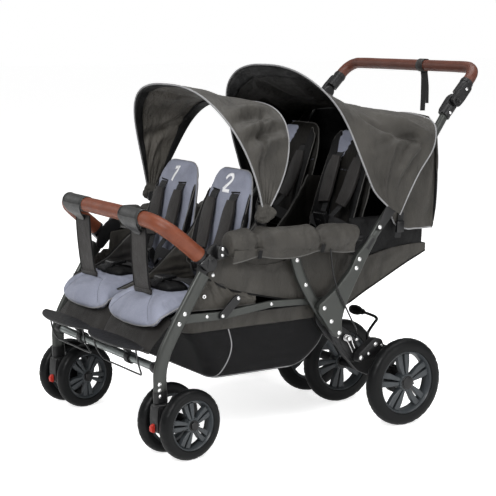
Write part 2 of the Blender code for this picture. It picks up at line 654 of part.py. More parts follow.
def make_footrest(mats):
    y, z = CROSSBAR
    path, sections = [], []
    for k in range(17):
        x = -0.290 + 0.580 * k / 16
        bow = 1 - abs(abs(x) / 0.145 - 1) ** 2.4
        front, rear = -0.004 - 0.036 * bow, 0.004 + 0.015 * bow
        path.append((x, -0.533, 0.2830))
        sections.append([(0, front), (0.0005, 0), (0.003, rear), (0.008, rear), (0.0055, 0), (0.005, front)])
    tread = object_from(sweep(path, sections, side=Vector((0, 1, 0))), "footrest_plate")
    for x in (-0.14, 0.14):
        ring = [(x - 0.011, 0.0112), (x - 0.011, 0.0155), (x + 0.011, 0.0155), (x + 0.011, 0.0112)]
        sleeve = object_from(turned(ring, 12, (0, y, z)), "sleeve")
        strut_outline = [(y - 0.009, z + 0.0125), (y + 0.003, z + 0.0135), (-0.516, 0.2885), (-0.532, 0.2868)]
        strut = object_from(plate(strut_outline, x - 0.009, x + 0.009), "strut")
        tread = combine(tread, [sleeve, strut], "UNION")
    route = [(0.030, -0.540, 0.2862), (0.032, -0.532, 0.245), (0.036, -0.516, 0.216), (0.060, -0.510, 0.209),
             (0.14, -0.510, 0.209), (0.225, -0.510, 0.209), (0.250, -0.514, 0.214), (0.256, -0.524, 0.240),
             (0.256, -0.533, 0.2862)]
    for side in (1, -1):
        wire = sweep(smooth_path([(side * px, py, pz) for px, py, pz in route], 16),
                     ellipse(0.0024, 0.0024, 5), side=Vector((0, 1, 0.15)))
        tread = combine(tread, [object_from(wire, "wire")], "UNION")
    placed(paint(tread, mats["plastic"]), (0, y, z))


# Soft parts

def pad_section(width, thick, crown, points=6):
    """A pillow section: flat-based, crowned on top, drawn in at both sides."""
    upper, lower = [], []
    for k in range(points + 1):
        s = -1 + 2 * k / points
        edge = (1 - abs(s) ** 3.2)
        upper.append((thick * (0.30 + 0.70 * edge) / 2 + crown * edge, s * width / 2))
        lower.append((-thick * (0.30 + 0.70 * edge) / 2, s * width / 2))
    return lower + list(reversed(upper))


def read_along(values, t):
    """The value at t (0 to 1) along an evenly spread list of values."""
    at = t * (len(values) - 1)
    k = min(int(at), len(values) - 2)
    return values[k] + (values[k + 1] - values[k]) * (at - k)


def pad(name, mat, centre_x, route, widths, thicks, crown, steps, pivot=None):
    """A padded piece along a side-view route, with widths and thicknesses along it."""
    path = smooth_path([(centre_x, y, z) for y, z in route], steps)
    sections = []
    for i in range(steps + 1):
        t = i / steps
        width = read_along(widths, t)
        thick = read_along(thicks, t)
        ends = 1 - abs(2 * t - 1) ** 6
        sections.append(pad_section(width, thick * (0.45 + 0.55 * ends), crown * ends))
    obj = object_from(sweep(path, sections), name, mat, 50)
    if pivot:
        placed(obj, (0, *pivot))
    return obj


def make_seats(mats):
    centre = SEAT_HALF_GAP + SEAT_WIDTH / 2
    wide = SEAT_WIDTH
    for side, word in ((1, "left"), (-1, "right")):
        x = side * centre
        front = [(-0.2165, 0.381), (-0.270, 0.378), (-0.340, 0.377), (-0.403, 0.379),
                 (-0.441, 0.374), (-0.463, 0.358), (-0.477, 0.341)]
        pad(f"front_seat_{word}", mats["pad"], x, front,
            (wide, wide, wide, wide, wide, wide * 0.86),
            (-0.040, -0.044, -0.044, -0.036, -0.028), -0.005, 12)
        rear = [(0.150, 0.462), (0.100, 0.455), (0.040, 0.455), (-0.010, 0.456), (-0.035, 0.436)]
        pad(f"rear_seat_{word}", mats["dark"], x, rear,
            (wide, wide, wide, wide * 0.92), (-0.026, -0.026), -0.005, 7)
        back = [(-0.211, 0.412), (-0.206, 0.47), (-0.194, 0.56), (-0.178, 0.64), (-0.160, 0.708)]
        pad(f"front_back_{word}", mats["pad"], x, back,
            (wide * 0.94, wide * 0.96, wide * 0.95, wide * 0.94, wide * 0.70),
            (0.026, 0.026), 0.005, 12, FRONT_RECLINE)
        back = [(0.170, 0.489), (0.186, 0.55), (0.208, 0.64), (0.232, 0.73), (0.252, 0.800)]
        pad(f"rear_back_{word}", mats["dark"], x, back,
            (wide * 0.94, wide * 0.96, wide * 0.94, wide * 0.88, wide * 0.52),
            (0.026, 0.026), 0.005, 10, REAR_RECLINE)


def make_calf_panel(mats):
    route = [(-0.4690, 0.3215), (-0.484, 0.2975), (-0.4985, 0.2745)]
    pad("calf_panel", mats["dark"], 0, route, (0.50, 0.52, 0.53), (0.006, 0.006), 0.0, 3)


def thin_shell(grid, name, mat, thickness, offset=-1):
    """A cloth surface, given as rows of points, with its thickness."""
    bm = bmesh.new()
    rows = [[bm.verts.new(p) for p in row] for row in grid]
    for first, second in zip(rows, rows[1:]):
        for k in range(len(first) - 1):
            bm.faces.new((first[k], first[k + 1], second[k + 1], second[k]))
    mesh = bpy.data.meshes.new(name)
    bm.to_mesh(mesh)
    bm.free()
    obj = bpy.data.objects.new(name, mesh)
    bpy.context.collection.objects.link(obj)
    solid = obj.modifiers.new("cloth", "SOLIDIFY")
    solid.thickness = thickness
    solid.offset = offset
    shell = baked(obj)
    shell.shade_smooth()
    obj = bpy.data.objects.new(name, shell)
    bpy.context.collection.objects.link(obj)
    return paint(obj, mat)


def make_tub(mats):
    """The seat unit's cloth tub: side walls, and the floor that rises to the scoop behind."""
    half = 0.2785
    top = [(0.371, 0.474), (0.330, 0.482), (-0.325, 0.4855)]
    lower = [(-0.335, 0.444), (-0.270, 0.409), (-0.190, 0.387), (-0.100, 0.3665), (0.000, 0.347),
             (0.060, 0.333), (0.100, 0.334), (0.162, 0.363), (0.230, 0.395), (0.300, 0.428),
             (0.345, 0.447), (0.369, 0.460)]
    floor_path = [(0, y, z + 0.0025) for y, z in lower[2:]]
    section = [(-0.002, -half + 0.001), (0.002, -half + 0.001), (0.002, half - 0.001), (-0.002, half - 0.001)]
    tub = object_from(sweep(smooth_path(floor_path, 14), section), "floor")
    for side in (1, -1):
        wall = plate(lower + top, *sorted((side * half, side * (half - CLOTH))))
        tub = combine(tub, [object_from(wall, "wall")], "UNION")
    tub.name = "seat_tub"
    paint(tub, mats["shell"])


def make_basket(mats):
    levels = [(0.343, -0.402, -0.022, 0.272), (0.300, -0.388, -0.024, 0.275),
              (0.235, -0.350, -0.036, 0.272), (0.194, -0.325, -0.056, 0.262)]
    corner, steps = 0.03, 2
    grid = []
    for z, front, rear, half in levels:
        ring = []
        for cx, cy, start in ((half - corner, rear - corner, 0), (-half + corner, rear - corner, 90),
                              (-half + corner, front + corner, 180), (half - corner, front + corner, 270)):
            for k in range(steps + 1):
                a = (start + 90 * k / steps) * DEG
                ring.append((cx + corner * math.cos(a), cy + corner * math.sin(a), z))
        grid.append(ring)
    bm = bmesh.new()
    rings = [[bm.verts.new(p) for p in ring] for ring in grid]
    for first, second in zip(rings, rings[1:]):
        for k in range(len(first)):
            bm.faces.new((first[k - 1], first[k], second[k], second[k - 1]))
    bm.faces.new(rings[-1])
    bmesh.ops.recalc_face_normals(bm, faces=bm.faces)
    mesh = bpy.data.meshes.new("basket")
    bm.to_mesh(mesh)
    bm.free()
    obj = bpy.data.objects.new("basket", mesh)
    bpy.context.collection.objects.link(obj)
    solid = obj.modifiers.new("cloth", "SOLIDIFY")
    solid.thickness = CLOTH
    solid.offset = -1
    solid.use_even_offset = True
    shell = baked(obj)
    inner_floor = 0.194 + CLOTH
    for vert in shell.vertices:
        if abs(vert.co.z - inner_floor) < 0.0005:
            vert.co.z = inner_floor
    obj = bpy.data.objects.new("basket", shell)
    bpy.context.collection.objects.link(obj)
    paint(obj, mats["shell"])


def make_arm_rolls(mats):
    """Padded rolls round the arm rails, gathered at two tufts, notched for the short leg."""
    x, z = ROLL_CENTRE
    tufts = (-0.215, -0.020)
    stations = 14
    start, end = -0.292, 0.121
    path, sections = [], []
    for k in range(stations + 1):
        t = k / stations
        y = start + (end - start) * t
        pinch = sum(0.0055 * math.exp(-((y - tuft) / 0.016) ** 2) for tuft in tufts)
        shrink = pinch + 0.006 * abs(2 * t - 1) ** 8
        path.append((x, y, z + 0.004 * math.cos(t * math.pi)))
        sections.append(ellipse(0.038 - shrink, 0.039 - shrink, 12))
    roll = object_from(sweep(path, sections), "roll")
    rail_path = [(FRAME_X, start - 0.01, ARM_RAIL_Z + 0.0015), (FRAME_X, end + 0.01, ARM_RAIL_Z + 0.0015)]
    bore = object_from(sweep(rail_path, ellipse(0.0135, 0.0122, 12)), "bore")
    roll = combine(roll, [bore], "DIFFERENCE")
    notch = object_from(plate([(-0.108, 0.470), (-0.062, 0.470), (-0.071, 0.512), (-0.108, 0.512)],
                              FRAME_X - 0.0100, FRAME_X + 0.0100), "notch")
    slant = object_from(plate([(0.066, 0.460), (0.200, 0.450), (0.200, 0.600), (0.121, 0.575)],
                              x - 0.060, x + 0.060), "slant")
    roll = combine(roll, [notch, slant], "DIFFERENCE")
    pair(paint(roll, mats["shell"]), "arm_roll")


def arch(hub, half_width, height, tilt, angles, power=3.0, sag=0.0, bow=0.0):
    """A hoop from hub to hub: a superellipse leaning by tilt, and by bow more at its feet."""
    points = []
    for a in angles:
        c, s = math.cos(a), math.sin(a)
        x = half_width * math.copysign(abs(c) ** (2 / power), c)
        r = (height - sag * abs(s) ** 2) * abs(s) ** (2 / power)
        lean = tilt + bow * (1 - s) ** 1.5
        points.append((x, hub[0] + r * math.sin(lean), hub[1] + r * math.cos(lean)))
    return points


def make_front_canopy(mats):
    """Cloth band between the raked brim hoop and the rear hoop, gathered at the hubs."""
    count = 18
    low = 0.055
    angles = [low + (math.pi - 2 * low) * k / count for k in range(count + 1)]
    hoops = [(-18.5, 8.5, 0.356, 0.310, 2.7, 0.0), (-9.0, 9.0, 0.338, 0.304, 2.9, 0.010),
             (1.5, 9.5, 0.320, 0.301, 3.0, 0.016), (13.0, 10.0, 0.314, 0.301, 3.1, 0.010),
             (24.5, 11.0, 0.315, 0.301, 3.2, 0.0)]
    grid = [arch(FRONT_HOOD_HUB, half, height, tilt * DEG, angles, power, sag, bow * DEG)
            for tilt, bow, height, half, power, sag in hoops]
    canopy = thin_shell(grid, "front_canopy", mats["shell"], CLOTH, -1)
    y, z = FRONT_HOOD_HUB
    for side in (1, -1):
        ends = sorted((side * 0.2855, side * 0.3035))
        hub = object_from(disc(y, z, 0.0155, ends[0], ends[1], 12), "hub")
        stay_outline = [(y - 0.006, z), (y + 0.010, z), (y + 0.070, z + 0.110), (y - 0.028, z + 0.110)]
        stay = object_from(plate(stay_outline, *sorted((side * 0.2930, side * 0.3000))), "stay")
        canopy = combine(canopy, [stay, hub], "UNION")
    canopy.name = "front_canopy"
    placed(paint(canopy, mats["shell"]), (0, *FRONT_HOOD_HUB))


def make_rear_canopy(mats):
    """The larger hood: from its brim hoop back over the uprights to the rear edge."""
    brim = [(0.3370, 0.190, 0.600), (0.3330, 0.150, 0.640), (0.3260, 0.128, 0.690), (0.317, 0.105, 0.750),
            (0.302, 0.084, 0.812), (0.280, 0.062, 0.866), (0.235, 0.042, 0.912), (0.165, 0.027, 0.948),
            (0.085, 0.019, 0.966)]
    middle = [(0.3385, 0.212, 0.586), (0.3390, 0.203, 0.628), (0.339, 0.202, 0.680), (0.337, 0.200, 0.735),
              (0.327, 0.194, 0.784), (0.293, 0.184, 0.822), (0.240, 0.176, 0.848), (0.165, 0.170, 0.866),
              (0.085, 0.167, 0.874)]
    rear = [(0.3385, 0.231, 0.574), (0.3395, 0.262, 0.632), (0.3395, 0.298, 0.690), (0.3385, 0.338, 0.740),
            (0.3330, 0.354, 0.776), (0.3140, 0.366, 0.808), (0.262, 0.379, 0.824), (0.165, 0.389, 0.832),
            (0.085, 0.392, 0.826)]

    def whole(half, top_y, top_z):
        return half + [(0, top_y, top_z)] + [(-x, y, z) for x, y, z in reversed(half)]

    def between(first, second, t, sag):
        row = []
        for a, b in zip(first, second):
            p = Vector(a).lerp(Vector(b), t)
            row.append((p.x, p.y, p.z - sag * max(0, (p.z - 0.75)) / 0.2))
        return row

    rows = [whole(brim, 0.018, 0.970), whole(middle, 0.166, 0.876), whole(rear, 0.393, 0.822)]
    grid = [rows[0], between(rows[0], rows[1], 0.5, 0.008), rows[1],
            between(rows[1], rows[2], 0.5, 0.008), rows[2]]
    canopy = thin_shell(grid, "rear_canopy", mats["shell"], CLOTH, -1)
    y, z = REAR_HOOD_HUB
    stay_outline = rounded([(y - 0.012, z - 0.004), (y + 0.002, z - 0.012), (y + 0.012, z - 0.004),
                            (0.224, 0.592), (0.196, 0.616)], 0.006, 1)
    for side in (1, -1):
        stay = object_from(plate(stay_outline, *sorted((side * 0.3345, side * 0.3375))), "stay")
        canopy = combine(canopy, [stay], "UNION")
    canopy.name = "rear_canopy"
    placed(paint(canopy, mats["shell"]), (0, *REAR_HOOD_HUB))


def make_back_curtain(mats):
    """Cloth hanging behind the rear seats, from the canopy's edge down past the tub's lip."""
    levels = [(0.797, 0.284, 0.372, 0.3940), (0.730, 0.290, 0.330, 0.3930),
              (0.650, 0.297, 0.285, 0.3880), (0.580, 0.300, 0.247, 0.3810),
              (0.515, 0.300, 0.235, 0.3690)]
    grid = []
    for z, half, wing, back in levels:
        side = [(half, min(wing, back - 0.012), z), (half, back - 0.010, z), (half - 0.010, back, z),
                (0.15, back + 0.003, z)]
        grid.append(side + [(0, back, z)] + [(-x, y, w) for x, y, w in reversed(side)])
    curtain = thin_shell(grid, "back_curtain", mats["shell"], CLOTH, 1)
    placed(curtain, (0, *FOLD_PIVOT))


def main():
    clear_scene()
    mats = make_materials()
    make_wheels(mats)
    make_casters(mats)
    make_front_legs(mats)
    make_arm_rails(mats)
    make_short_legs(mats)
    make_seat_rails(mats)
    make_crossbar(mats)
    make_uprights(mats)
    make_handle(mats)
    make_bumper(mats)
    make_rear_brackets(mats)
    make_springs(mats)
    make_rear_axle(mats)
    make_brake_pedal(mats)
    make_brake_cable(mats)
    make_footrest(mats)
    make_seats(mats)
    make_calf_panel(mats)
    make_tub(mats)
    make_basket(mats)
    make_arm_rolls(mats)
    make_front_canopy(mats)
    make_rear_canopy(mats)
    make_back_curtain(mats)
    for obj in bpy.data.objects:
        obj.location.y += ORIGIN_SHIFT


main()
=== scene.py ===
"""Looks of the four-seat tandem stroller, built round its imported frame. Metres; the front faces -Y."""

import json
import math

import bmesh
import bpy
from mathutils import Matrix, Vector, bvhtree, kdtree, noise

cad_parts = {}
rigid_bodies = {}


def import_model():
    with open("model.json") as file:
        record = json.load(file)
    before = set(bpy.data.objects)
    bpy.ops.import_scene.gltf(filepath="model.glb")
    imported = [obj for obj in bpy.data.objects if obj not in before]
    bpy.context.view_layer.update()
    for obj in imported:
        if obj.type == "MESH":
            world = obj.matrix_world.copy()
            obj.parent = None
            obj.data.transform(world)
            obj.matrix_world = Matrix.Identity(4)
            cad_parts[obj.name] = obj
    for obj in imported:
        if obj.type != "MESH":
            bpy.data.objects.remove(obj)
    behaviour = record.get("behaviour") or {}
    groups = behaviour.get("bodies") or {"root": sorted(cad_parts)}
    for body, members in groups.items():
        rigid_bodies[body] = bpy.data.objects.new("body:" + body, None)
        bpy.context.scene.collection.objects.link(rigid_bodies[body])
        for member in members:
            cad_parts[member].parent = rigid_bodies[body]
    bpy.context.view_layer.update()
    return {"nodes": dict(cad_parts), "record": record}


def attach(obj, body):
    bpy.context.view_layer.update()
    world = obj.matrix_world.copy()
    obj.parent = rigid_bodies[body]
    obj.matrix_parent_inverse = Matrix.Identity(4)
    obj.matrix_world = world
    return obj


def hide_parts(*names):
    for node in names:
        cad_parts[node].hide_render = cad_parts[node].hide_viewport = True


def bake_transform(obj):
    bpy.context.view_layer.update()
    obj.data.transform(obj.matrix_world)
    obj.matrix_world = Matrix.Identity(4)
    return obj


bpy.ops.object.select_all(action="SELECT")
bpy.ops.object.delete()
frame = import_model()

DEG = math.pi / 180
SHIFT = 0.014                # side-view points below are measured from 14 mm behind the origin
SIDES = (("left", 1), ("right", -1))
WAYS = (("near", 1), ("far", -1))

PHOTO = 496                  # the photo's width and height, pixels
SENSOR = 36
FOCAL = 1427.325             # the fitted camera: focal length in pixels, angles in degrees, place
AZIMUTH, ELEVATION = 57.7309, 8.9959
CAMERA = (3.3422, -2.1495, 1.0864)
WORLD_LIGHT = 0.27
FLOOR_GLOW = (0.50, 0.24)    # emission that only the camera sees, and emission for all rays

FRONT_RADIUS, FRONT_WIDTH = 0.0907, 0.036
REAR_RADIUS, REAR_WIDTH = 0.120, 0.042
BEAD, HUB, RIM_HALF = 0.713, 0.185, 0.40    # bead and hub as shares of the radius, rim of the width
SPOKES = 5
TREAD_STEPS, HUB_STEPS = 120, 48
FRONT_WHEEL_X = (("outer", 0.046), ("inner", -0.046))
REAR_WHEEL_X = (("outer", 0.3697), ("inner", 0.0735))
CASTER_Y, FRONT_HUB_Y, REAR_HUB_Y = -0.487, -0.430, 0.2266
CASTER_TURN = 8 * DEG

FRAME_X = 0.300              # middle plane of a side frame
UPRIGHT_X = 0.322
GRIP_RADIUS, BUMPER_RADIUS = 0.0163, 0.0200
LEG_TOP = (-0.345, 0.487)    # pivots and hubs in side view
KNUCKLE = (0.443, 0.872)
SUSPENSION = (0.107, 0.193)
PEDAL = (0.268, 0.187)
CROSSBAR = (-0.487, 0.232)
FRONT_HUB = (-0.185, 0.586)
REAR_HUB = (0.165, 0.545)

SEAT_X = 0.141               # middle of a seat
INTO_BACK = (0, 1, -0.2)     # the way in which lines are cast on a seat back
TUB_HALF = 0.274
ROLL_X, ROLL_Z = 0.302, 0.527
CANOPY_STEPS = 108


# Camera, light and floor

def add_camera():
    """The camera that was fitted to the photo."""
    data = bpy.data.cameras.new("camera")
    data.sensor_width = SENSOR
    data.lens = FOCAL / PHOTO * SENSOR
    cam = bpy.data.objects.new("camera", data)
    bpy.context.scene.collection.objects.link(cam)
    azimuth, elevation = AZIMUTH * DEG, ELEVATION * DEG
    look = Vector((-math.sin(azimuth) * math.cos(elevation), math.cos(azimuth) * math.cos(elevation),
                   -math.sin(elevation)))
    cam.location = at(*CAMERA)
    cam.rotation_euler = look.to_track_quat("-Z", "Y").to_euler()
    bpy.context.scene.camera = cam


def add_light(name, place, aim, size, power):
    """A soft area lamp that looks from a place at an aim."""
    data = bpy.data.lights.new(name, "AREA")
    data.shape = "RECTANGLE"
    data.size, data.size_y = size
    data.energy = power
    lamp = bpy.data.objects.new(name, data)
    lamp.location = place
    lamp.rotation_euler = (Vector(aim) - Vector(place)).to_track_quat("-Z", "Y").to_euler()
    bpy.context.scene.collection.objects.link(lamp)


def set_inputs(node, values):
    """Sets a node's inputs by their names."""
    for name, value in values.items():
        node.inputs[name].default_value = value


def add_stage():
    """A world that the camera sees as white, a pale floor and four soft lamps."""
    scene = bpy.context.scene
    scene.render.resolution_x = scene.render.resolution_y = PHOTO
    scene.view_settings.view_transform = "Standard"
    white = (1, 1, 1, 1)
    world = bpy.data.worlds.new("studio")
    world.use_nodes = True
    nodes, links = world.node_tree.nodes, world.node_tree.links
    light, seen = nodes["Background"], nodes.new("ShaderNodeBackground")
    path, mix = nodes.new("ShaderNodeLightPath"), nodes.new("ShaderNodeMixShader")
    links.new(path.outputs["Is Camera Ray"], mix.inputs[0])
    for k, (shader, strength) in enumerate(((light, WORLD_LIGHT), (seen, 1.0))):
        set_inputs(shader, {"Color": white, "Strength": strength})
        links.new(shader.outputs[0], mix.inputs[1 + k])
    links.new(mix.outputs[0], nodes["World Output"].inputs["Surface"])
    scene.world = world

    bm = bmesh.new()
    bmesh.ops.create_grid(bm, x_segments=1, y_segments=1, size=30)
    mesh = bpy.data.meshes.new("floor")
    bm.to_mesh(mesh)
    bm.free()
    floor = bpy.data.objects.new("floor", mesh)
    scene.collection.objects.link(floor)
    mat = bpy.data.materials.new("floor_white")
    mat.use_nodes = True
    nodes, links = mat.node_tree.nodes, mat.node_tree.links
    shader = nodes["Principled BSDF"]
    set_inputs(shader, {"Base Color": (0.93, 0.93, 0.93, 1), "Roughness": 0.55, "Specular IOR Level": 0.15,
                        "Emission Color": white})
    path, glow = nodes.new("ShaderNodeLightPath"), nodes.new("ShaderNodeMath")
    glow.operation = "MULTIPLY_ADD"
    glow.inputs[1].default_value, glow.inputs[2].default_value = FLOOR_GLOW
    links.new(path.outputs["Is Camera Ray"], glow.inputs[0])
    links.new(glow.outputs[0], shader.inputs["Emission Strength"])
    mesh.materials.append(mat)

    add_light("key", (2.6, -3.2, 3.4), (0, 0, 0.4), (1.8, 1.8), 170)
    add_light("fill", (-3.4, -2.4, 2.4), (0, 0, 0.5), (3.0, 2.4), 30)
    add_light("top", (0.2, 0.6, 3.6), (0, 0, 0.5), (2.8, 2.8), 100)
    add_light("side", (4.2, 1.4, 1.6), (0, 0.1, 0.5), (1.4, 2.2), 58)


# Materials. Every pattern is on object coordinates, in metres.

class Shader:
    """Builds a node material around one Principled shader."""

    def __init__(self, name, rough=0.5, metallic=0.0, sheen=0.0, specular=0.5):
        self.mat = bpy.data.materials.new(name)
        self.mat.use_nodes = True
        self.nodes = self.mat.node_tree.nodes
        self.links = self.mat.node_tree.links
        self.main = self.nodes["Principled BSDF"]
        set_inputs(self.main, {"Roughness": rough, "Metallic": metallic, "Sheen Weight": sheen,
                               "Sheen Roughness": 0.45, "Specular IOR Level": specular})
        self.place = self.nodes.new("ShaderNodeTexCoord").outputs["Object"]

    def feed(self, socket, value):
        """Links a node's output to the socket, or sets the socket's value."""
        if isinstance(value, bpy.types.NodeSocket):
            self.links.new(value, socket)
        else:
            socket.default_value = value

    def node(self, kind, **values):
        """A node of a kind; values are its inputs, or else its settings."""
        made = self.nodes.new("ShaderNode" + kind)
        for key, value in values.items():
            if key in made.inputs.keys():
                self.feed(made.inputs[key], value)
            else:
                setattr(made, key, value)
        return made

    def noise(self, scale, detail=3.0, rough=0.5, stretch=(1, 1, 1)):
        """Noise on object coordinates, stretched along the axes."""
        vector = self.place
        if stretch != (1, 1, 1):
            vector = self.node("Mapping", Vector=self.place, Scale=stretch).outputs[0]
        made = self.node("TexNoise", Vector=vector, Scale=scale, Detail=detail, Roughness=rough)
        return made.outputs["Fac"]

    def ramp(self, fac, stops):
        """A ramp between two stops of (place, colour or grey)."""
        made = self.nodes.new("ShaderNodeValToRGB")
        self.links.new(fac, made.inputs["Fac"])
        for element, (spot, color) in zip(made.color_ramp.elements, stops):
            element.position = spot
            element.color = (*color, 1) if isinstance(color, tuple) else (color, color, color, 1)
        return made.outputs["Color"]

    def math(self, kind, a, b=0.0, c=0.0):
        """One sum or function of up to three values."""
        made = self.nodes.new("ShaderNodeMath")
        made.operation = kind
        for socket, value in zip(made.inputs, (a, b, c)):
            self.feed(socket, value)
        return made.outputs[0]

    def mix(self, fac, a, b, blend="MIX"):
        """Two colours mixed by a factor."""
        made = self.nodes.new("ShaderNodeMix")
        made.data_type = "RGBA"
        made.blend_type = blend
        for k, value in ((0, fac), (6, a), (7, b)):
            self.feed(made.inputs[k], (*value, 1) if isinstance(value, tuple) else value)
        return made.outputs[2]

    def weave(self, pitch):
        """Plain weave: threads along the three axes crossed, high on the thread's back."""
        split = self.node("SeparateXYZ", Vector=self.place)
        waves = []
        for axis in ("X", "Y", "Z"):
            turn = self.math("MULTIPLY", split.outputs[axis], 2 * math.pi / pitch)
            waves.append(self.math("SINE", turn))
        first = self.math("MULTIPLY", waves[0], waves[1])
        second = self.math("MULTIPLY", waves[1], waves[2])
        third = self.math("MULTIPLY", waves[0], waves[2])
        return self.math("ADD", self.math("ADD", first, second), third)

    def bump(self, height, strength, distance, under=None):
        """Bump from a height, laid over the bump under it."""
        made = self.node("Bump", Strength=strength, Distance=distance, Height=height)
        if under is not None:
            self.links.new(under, made.inputs["Normal"])
        self.links.new(made.outputs[0], self.main.inputs["Normal"])
        return made.outputs[0]

    def color(self, socket):
        """Links the base colour."""
        self.links.new(socket, self.main.inputs["Base Color"])

    def roughness(self, socket):
        """Links the roughness."""
        self.links.new(socket, self.main.inputs["Roughness"])


def scaled(color, share):
    """A colour made darker or lighter."""
    return tuple(c * share for c in color)


def cloth(name, dark, light, pitch=0.0011, sheen=0.04, weave=0.25, rough=0.58, crinkle=0.5):
    """Woven cloth: an even tone with faint threads, painted shade along its creases, and fine crinkles."""
    s = Shader(name, rough, sheen=sheen, specular=0.24 if sheen else 0.13)
    threads = s.noise(700, 2, 0.6, (0.25, 1, 1))
    tone = s.math("MULTIPLY_ADD", threads, 0.35, s.math("MULTIPLY", s.noise(7, 4, 0.55), 0.65))
    ridge = s.math("ABSOLUTE", s.math("SUBTRACT", s.noise(7.5, 3, 0.45, (1, 1.5, 0.8)), 0.5))
    # painted shade: the colour is darkened to as little as two thirds along noise ridges that stand for
    # creases, as strongly as crinkle sets
    shade = s.ramp(ridge, [(0.0, 0.66), (0.085, 1)])
    s.color(s.mix(min(1.0, crinkle * 1.3), s.ramp(tone, [(0.36, dark), (0.64, light)]), shade, "MULTIPLY"))
    s.roughness(s.ramp(s.noise(22, 3), [(0.3, rough * 0.82), (0.7, rough * 1.15)]))
    folds = s.bump(s.ramp(ridge, [(0.0, 0), (0.10, 1)]), crinkle * 0.7, 0.006)
    creases = s.bump(s.noise(24, 4, 0.6, (1, 1.6, 0.7)), crinkle, 0.010, folds)
    small = s.bump(s.noise(110, 3, 0.55), crinkle * 0.5, 0.0016, creases)
    s.bump(s.weave(pitch), weave, 0.0003, small)
    return s.mat


def webbing(name, dark, light):
    """Ribbed strap webbing."""
    s = Shader(name, 0.7, sheen=0.05, specular=0.3)
    ribs = s.weave(0.0022)
    s.color(s.mix(s.math("MULTIPLY_ADD", ribs, 0.2, 0.5), dark, light))
    s.bump(ribs, 0.5, 0.0005)
    return s.mat


def leatherette(name, low, high):
    """Stitched leatherette: fine pebble grain, darker creases, slight polish on the grain."""
    s = Shader(name, 0.44, specular=0.32)
    cells = s.node("TexVoronoi", Vector=s.place, Scale=620.0, feature="DISTANCE_TO_EDGE").outputs["Distance"]
    grain = s.ramp(cells, [(0.0, (0, 0, 0)), (0.18, (1, 1, 1))])
    tone = s.ramp(s.noise(26, 5, 0.6), [(0.3, low), (0.7, high)])
    s.color(s.mix(0.35, tone, grain, "MULTIPLY"))
    s.roughness(s.ramp(s.noise(60, 3), [(0.3, 0.36), (0.7, 0.50)]))
    s.bump(grain, 0.18, 0.0004, s.bump(s.noise(30, 3), 0.06, 0.003))
    return s.mat


def paint(name, color, rough=0.36, metallic=0.55):
    """Satin powder paint with orange peel and slightly worn tone."""
    s = Shader(name, rough, metallic=metallic, specular=0.5)
    s.color(s.mix(s.noise(14, 4), scaled(color, 0.85), scaled(color, 1.12)))
    s.roughness(s.ramp(s.noise(85, 3), [(0.3, rough * 0.88), (0.7, rough * 1.15)]))
    s.bump(s.noise(700, 2), 0.05, 0.0006)
    return s.mat


def plastic(name, color, rough=0.45, grain=0.12, scale=900, specular=0.34):
    """Moulded plastic with a fine spark-eroded grain."""
    s = Shader(name, rough, specular=specular)
    s.color(s.mix(s.noise(20, 3), scaled(color, 0.85), scaled(color, 1.15)))
    s.roughness(s.ramp(s.noise(120, 3), [(0.3, rough * 0.85), (0.7, rough * 1.2)]))
    s.bump(s.noise(scale, 2), grain, 0.0005)
    return s.mat


def metal(name, color):
    """Brushed bright metal."""
    rough = 0.25
    s = Shader(name, rough, metallic=1.0)
    s.color(s.mix(s.noise(300, 2), scaled(color, 0.9), color))
    s.roughness(s.ramp(s.noise(400, 2, 0.5, (1, 6, 1)), [(0.3, rough * 0.7), (0.7, rough * 1.4)]))
    return s.mat


def net(name, color):
    """Black mesh cloth: round holes in a dark net."""
    s = Shader(name, 0.8, sheen=0.03, specular=0.15)
    s.main.inputs["Base Color"].default_value = (*color, 1)
    holes = s.weave(0.0032)
    open_part = s.ramp(holes, [(0.62, (0, 0, 0)), (0.72, (1, 1, 1))])
    clear = s.node("BsdfTransparent")
    mix = s.nodes.new("ShaderNodeMixShader")
    s.links.new(s.math("MULTIPLY", open_part, 0.35), mix.inputs[0])
    s.links.new(s.main.outputs[0], mix.inputs[1])
    s.links.new(clear.outputs[0], mix.inputs[2])
    s.links.new(mix.outputs[0], s.nodes["Material Output"].inputs["Surface"])
    s.bump(holes, 0.5, 0.0006)
    return s.mat


